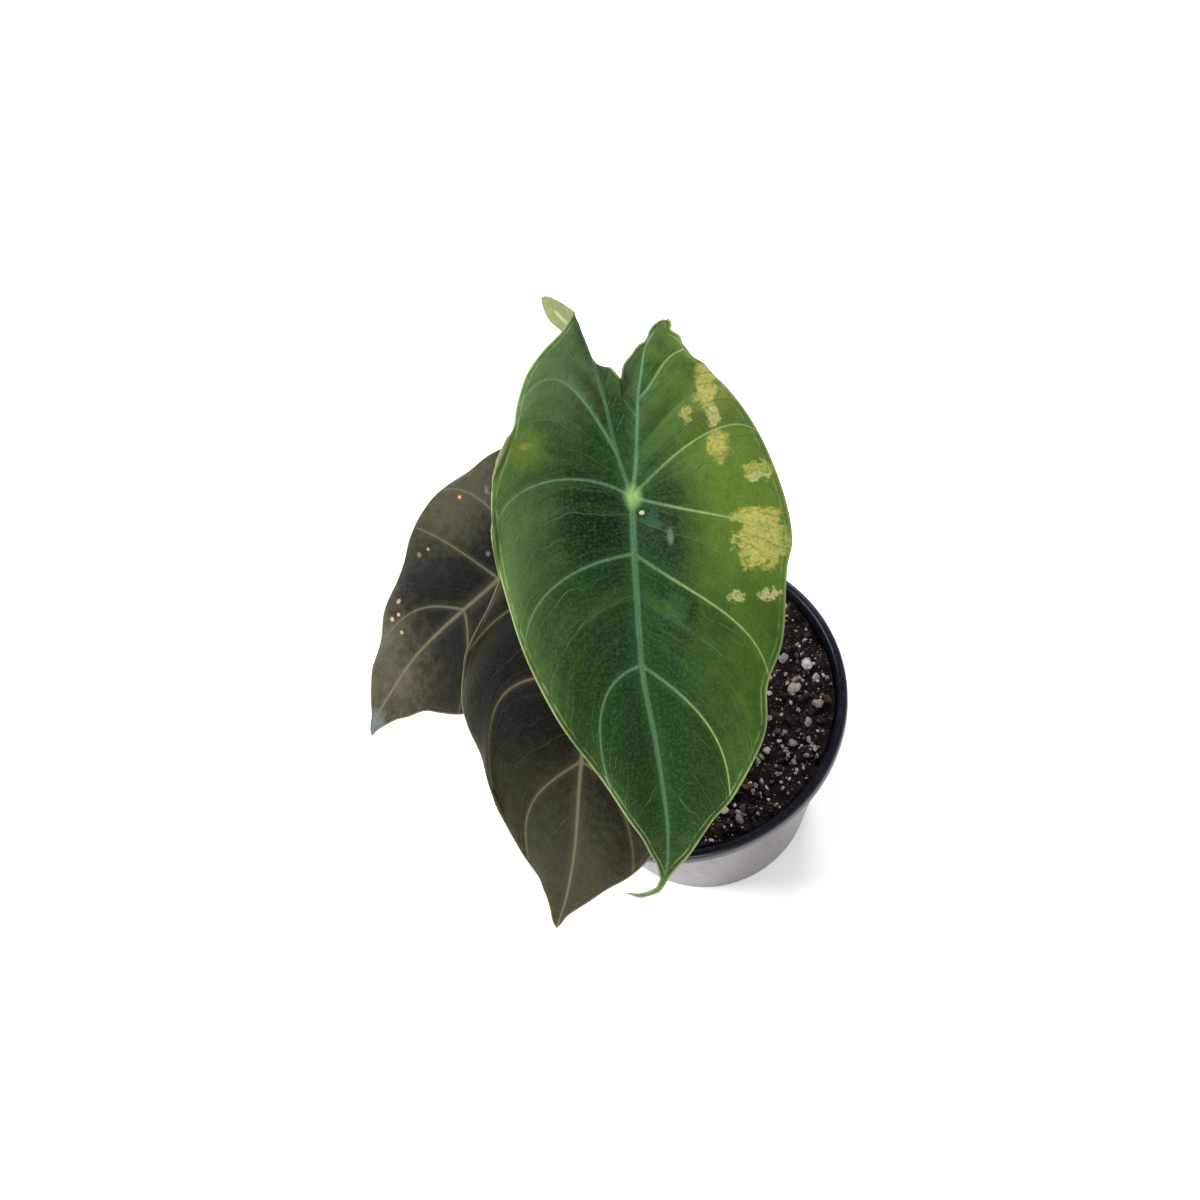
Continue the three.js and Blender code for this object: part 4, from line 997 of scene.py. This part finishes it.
def soil_mesh():
    """Crumbly surface with its rim against the pot, and a plain body below."""
    edge = inner_radius(SOIL_LEVEL) - SOIL_GAP
    rings, around = 110, 300
    r = edge * np.linspace(0, 1, rings + 1)[1:]
    angle = 2 * np.pi * np.arange(around) / around
    x = r[:, None] * np.cos(angle)
    y = r[:, None] * np.sin(angle)
    z = soil_surface(x, y)
    points = [(0, 0, float(soil_surface(np.array(0.0), np.array(0.0))))]
    points += np.dstack([x, y, z]).reshape(-1, 3).tolist()
    lower = [(inner_radius(FLOOR + 3) - SOIL_GAP, FLOOR + 3), (INNER_FOOT - 2.2, FLOOR + SOIL_GAP)]
    for rr, zz in lower:
        points += [(rr * math.cos(a), rr * math.sin(a), zz) for a in angle]
    points.append((0, 0, FLOOR + SOIL_GAP))
    faces = [(0, 1 + j, 1 + (j + 1) % around) for j in range(around)]
    for i in range(rings + 1):
        for j in range(around):
            a, b = 1 + i * around + j, 1 + i * around + (j + 1) % around
            faces.append((a, a + around, b + around, b))
    last = 1 + (rings + 1) * around
    faces += [(last + j, len(points) - 1, last + (j + 1) % around) for j in range(around)]
    return make_mesh("potting_soil", points, faces)


def soil_material():
    m = Shader("potting_mix")
    place = m.place()
    clump = m.noise(place, 260.0, 5, 0.7)
    grit = m.noise(place, 1400.0, 4, 0.7)
    fibre = m.noise(place, 700.0, 3, 0.5, 2.0)
    m.base = m.mix(m.step(clump, 0.35, 0.65), srgb(12, 9, 9), srgb(34, 25, 23))
    m.paint(m.step(grit, 0.52, 0.75) * 0.6, srgb(84, 66, 58))
    m.paint(m.step(fibre, 0.66, 0.74) * 0.5, srgb(104, 70, 50))
    m.paint(m.step(m.cells(place, 900.0), 0.16, 0.10), srgb(176, 164, 154))
    m.set("Base Color", m.base)
    m.set("Roughness", 0.92)
    m.set("Specular IOR Level", 0.25)
    m.set("Normal", m.bump(clump + grit * 0.6, 0.9, 0.0012))
    return m.material


def chunk(detail):
    bm = bmesh.new()
    bmesh.ops.create_icosphere(bm, subdivisions=detail, radius=1)
    points = np.array([v.co[:] for v in bm.verts])
    faces = [[v.index for v in f.verts] for f in bm.faces]
    bm.free()
    return points, faces


def scatter_mesh(name, count, sizes, detail, seed, flatness, jag, sink, clear, bunch):
    """Loose angular grains lying on the soil, each a dented and stretched chunk."""
    rng = np.random.default_rng(seed)
    base, faces = chunk(detail)
    edge = inner_radius(SOIL_LEVEL) - 0.5
    all_points, all_faces, tint = [], [], []
    made = 0
    while made < count:
        size = sizes[0] + (sizes[1] - sizes[0]) * rng.random() ** 2.2
        r = (edge - size) * math.sqrt(rng.random())
        angle = 2 * math.pi * rng.random()
        x, y = r * math.cos(angle), r * math.sin(angle)
        if any(math.hypot(x - stem["foot"][0], y - stem["foot"][1]) < stem["radii"][0] + size + clear
               for stem in STEMS.values()):
            continue
        if float(rough_field(x, y, 11, 77)) < bunch * rng.random():
            continue
        push = 1 + jag * (rng.random(len(base)) - 0.5)
        for _ in range(5):
            cut = rng.normal(size=3)
            cut /= np.linalg.norm(cut)
            push = np.where(base @ cut * push > 0.72, 0.72 / np.maximum(base @ cut, 1e-3), push)
        stretch = np.array([1, 0.65 + 0.35 * rng.random(), flatness * (0.7 + 0.3 * rng.random())])
        points = base * push[:, None] * stretch * size
        q = rng.normal(size=4)
        q /= np.linalg.norm(q)
        w, i, j, k = q
        turn = np.array([[1 - 2 * (j * j + k * k), 2 * (i * j - k * w), 2 * (i * k + j * w)],
                         [2 * (i * j + k * w), 1 - 2 * (i * i + k * k), 2 * (j * k - i * w)],
                         [2 * (i * k - j * w), 2 * (j * k + i * w), 1 - 2 * (i * i + j * j)]])
        points = points @ turn.T
        ground = float(soil_surface(np.array(x), np.array(y)))
        points = points + np.array([x, y, ground - points[:, 2].min() * (1 - sink)])
        all_faces += [[v + made * len(base) for v in f] for f in faces]
        all_points.append(points)
        tint.append(np.tile(rng.random(3), (len(base), 1)))
        made += 1
    mesh = make_mesh(name, np.vstack(all_points), all_faces, False)
    store(mesh, "grain_tint", np.vstack(tint))
    return mesh


def grain_material(name, colours, rough):
    """Grain colours picked by each grain's own random tint, with pits and stains."""
    m = Shader(name)
    one, two, three = m.attribute("grain_tint")
    place = m.place()
    pits = m.noise(place, 1600.0, 4, 0.7)
    stain = m.noise(place, 500.0, 3)
    m.base = m.mix(m.step(one, 0.1, 0.9), colours[0], colours[1])
    m.paint(m.step(two, 0.72, 0.8), colours[2])
    m.paint(m.step(stain, 0.5, 0.7) * three, colours[3])
    m.paint(m.step(pits, 0.55, 0.7) * 0.4, colours[3])
    m.set("Base Color", m.base)
    m.set("Roughness", rough)
    m.set("Normal", m.bump(pits, 0.8, 0.0005))
    return m.material


# The plant
for key, leaf, slot, material in (
        ("main", MAIN, "green_leaf", leaf_material("green_leaf", GREEN)),
        ("front", FRONT, "dark_leaf", leaf_material("dark_leaf_front", DARK_FRONT)),
        ("left", LEFT, "dark_leaf", leaf_material("dark_leaf_left", DARK_MARKED))):
    add_piece(blade_mesh(leaf, f"leaf_{key}"), f"leaf_{key}", slot, f"blade_{key}", material)

green_stem = stem_material("green_stem", foot=srgb(196, 190, 150), middle=srgb(118, 142, 78),
                           top=srgb(104, 140, 72), stripe=srgb(150, 166, 104))
dark_stem = stem_material("dark_stem", foot=srgb(176, 160, 124), middle=srgb(92, 92, 60),
                          top=srgb(84, 88, 60), stripe=srgb(60, 56, 44))
for key, slot, material in (("main", "green_stem", green_stem), ("front", "dark_stem", dark_stem),
                            ("left", "dark_stem", dark_stem)):
    add_piece(stem_mesh(STEMS[key], f"petiole_{key}"), f"petiole_{key}", slot, f"stem_{key}", material)

# The pot and what it holds
add_piece(pot_mesh(), "nursery_pot", "pot_plastic", "pot", pot_material())
add_piece(soil_mesh(), "potting_soil", "soil", "soil", soil_material())
PERLITE = (srgb(214, 208, 202), srgb(160, 146, 134), srgb(150, 158, 150), srgb(96, 76, 66))
CRUMBS = (srgb(16, 12, 11), srgb(50, 32, 27), srgb(92, 62, 50), srgb(10, 8, 8))
perlite = grain_material("perlite", PERLITE, 0.85)
crumbs = grain_material("crumbs", CRUMBS, 0.9)
for name, material, grains in (
        ("perlite_coarse", perlite, dict(count=130, sizes=(1.0, 2.5), detail=2, seed=3, flatness=0.8,
                                         jag=0.5, sink=0.4, clear=0.2, bunch=1.3)),
        ("perlite_fine", perlite, dict(count=1100, sizes=(0.35, 1.1), detail=1, seed=5, flatness=0.85,
                                       jag=0.6, sink=0.4, clear=0.1, bunch=1.4)),
        ("soil_crumbs", crumbs, dict(count=1500, sizes=(0.5, 1.9), detail=1, seed=9, flatness=0.6,
                                     jag=0.5, sink=0.45, clear=0.1, bunch=0.0))):
    add_piece(scatter_mesh(name, **grains), name, "soil", None, material)


# Floor, light and camera
FLOOR_HALF = 3.0


def add_floor():
    mesh = bpy.data.meshes.new("floor")
    corners = [(x * FLOOR_HALF, y * FLOOR_HALF, 0) for x, y in ((-1, -1), (1, -1), (1, 1), (-1, 1))]
    mesh.from_pydata(corners, [], [(0, 1, 2, 3)])
    floor = bpy.data.objects.new("floor", mesh)
    bpy.context.scene.collection.objects.link(floor)
    m = Shader("floor")
    m.set("Base Color", (0.93, 0.935, 0.94, 1))
    m.set("Roughness", 0.9)
    m.set("Specular IOR Level", 0.1)
    m.set("Emission Color", (0.92, 0.97, 1.0, 1))
    m.set("Emission Strength", 0.36)
    mesh.materials.append(m.material)


def add_light(name, place, target, size, power, colour=(1, 1, 1)):
    data = bpy.data.lights.new(name, "AREA")
    data.shape = "DISK"
    data.size = size
    data.energy = power
    data.color = colour
    light = bpy.data.objects.new(name, data)
    light.location = place
    light.rotation_euler = (Vector(target) - Vector(place)).to_track_quat("-Z", "Y").to_euler()
    bpy.context.scene.collection.objects.link(light)


add_floor()
add_light("key", (-0.80, 0.30, 0.62), (0, 0, 0.12), 0.5, 13.0)
add_light("back", (0.45, 0.75, 0.75), (0, 0, 0.12), 0.4, 6.0, (1.0, 0.97, 0.92))
add_light("low", (-0.25, -0.70, 0.16), (0, -0.04, 0.05), 0.3, 2.2, (1.0, 0.82, 0.72))

scene = bpy.context.scene
world = bpy.data.worlds.new("studio")
world.use_nodes = True
world.node_tree.nodes["Background"].inputs[0].default_value = (0.95, 0.98, 1.0, 1)
world.node_tree.nodes["Background"].inputs[1].default_value = 0.52
scene.world = world
scene.view_settings.view_transform = "Standard"

camera_data = bpy.data.cameras.new("camera")
camera_data.sensor_width = 36
camera_data.lens = 36
camera = bpy.data.objects.new("camera", camera_data)
elevation, roll = math.radians(59.325), math.radians(-21.206)
sight = Vector((0, math.cos(elevation), -math.sin(elevation)))
right = Vector((1, 0, 0))
lift = right.cross(sight)
turned_right = right * math.cos(roll) + lift * math.sin(roll)
turned_up = lift * math.cos(roll) - right * math.sin(roll)
camera.matrix_world = Matrix.Translation((-0.01169, -0.16575, 0.44055)) @ Matrix(
    (turned_right, turned_up, -sight)).transposed().to_4x4()
scene.collection.objects.link(camera)
scene.camera = camera

bpy.context.view_layer.update()
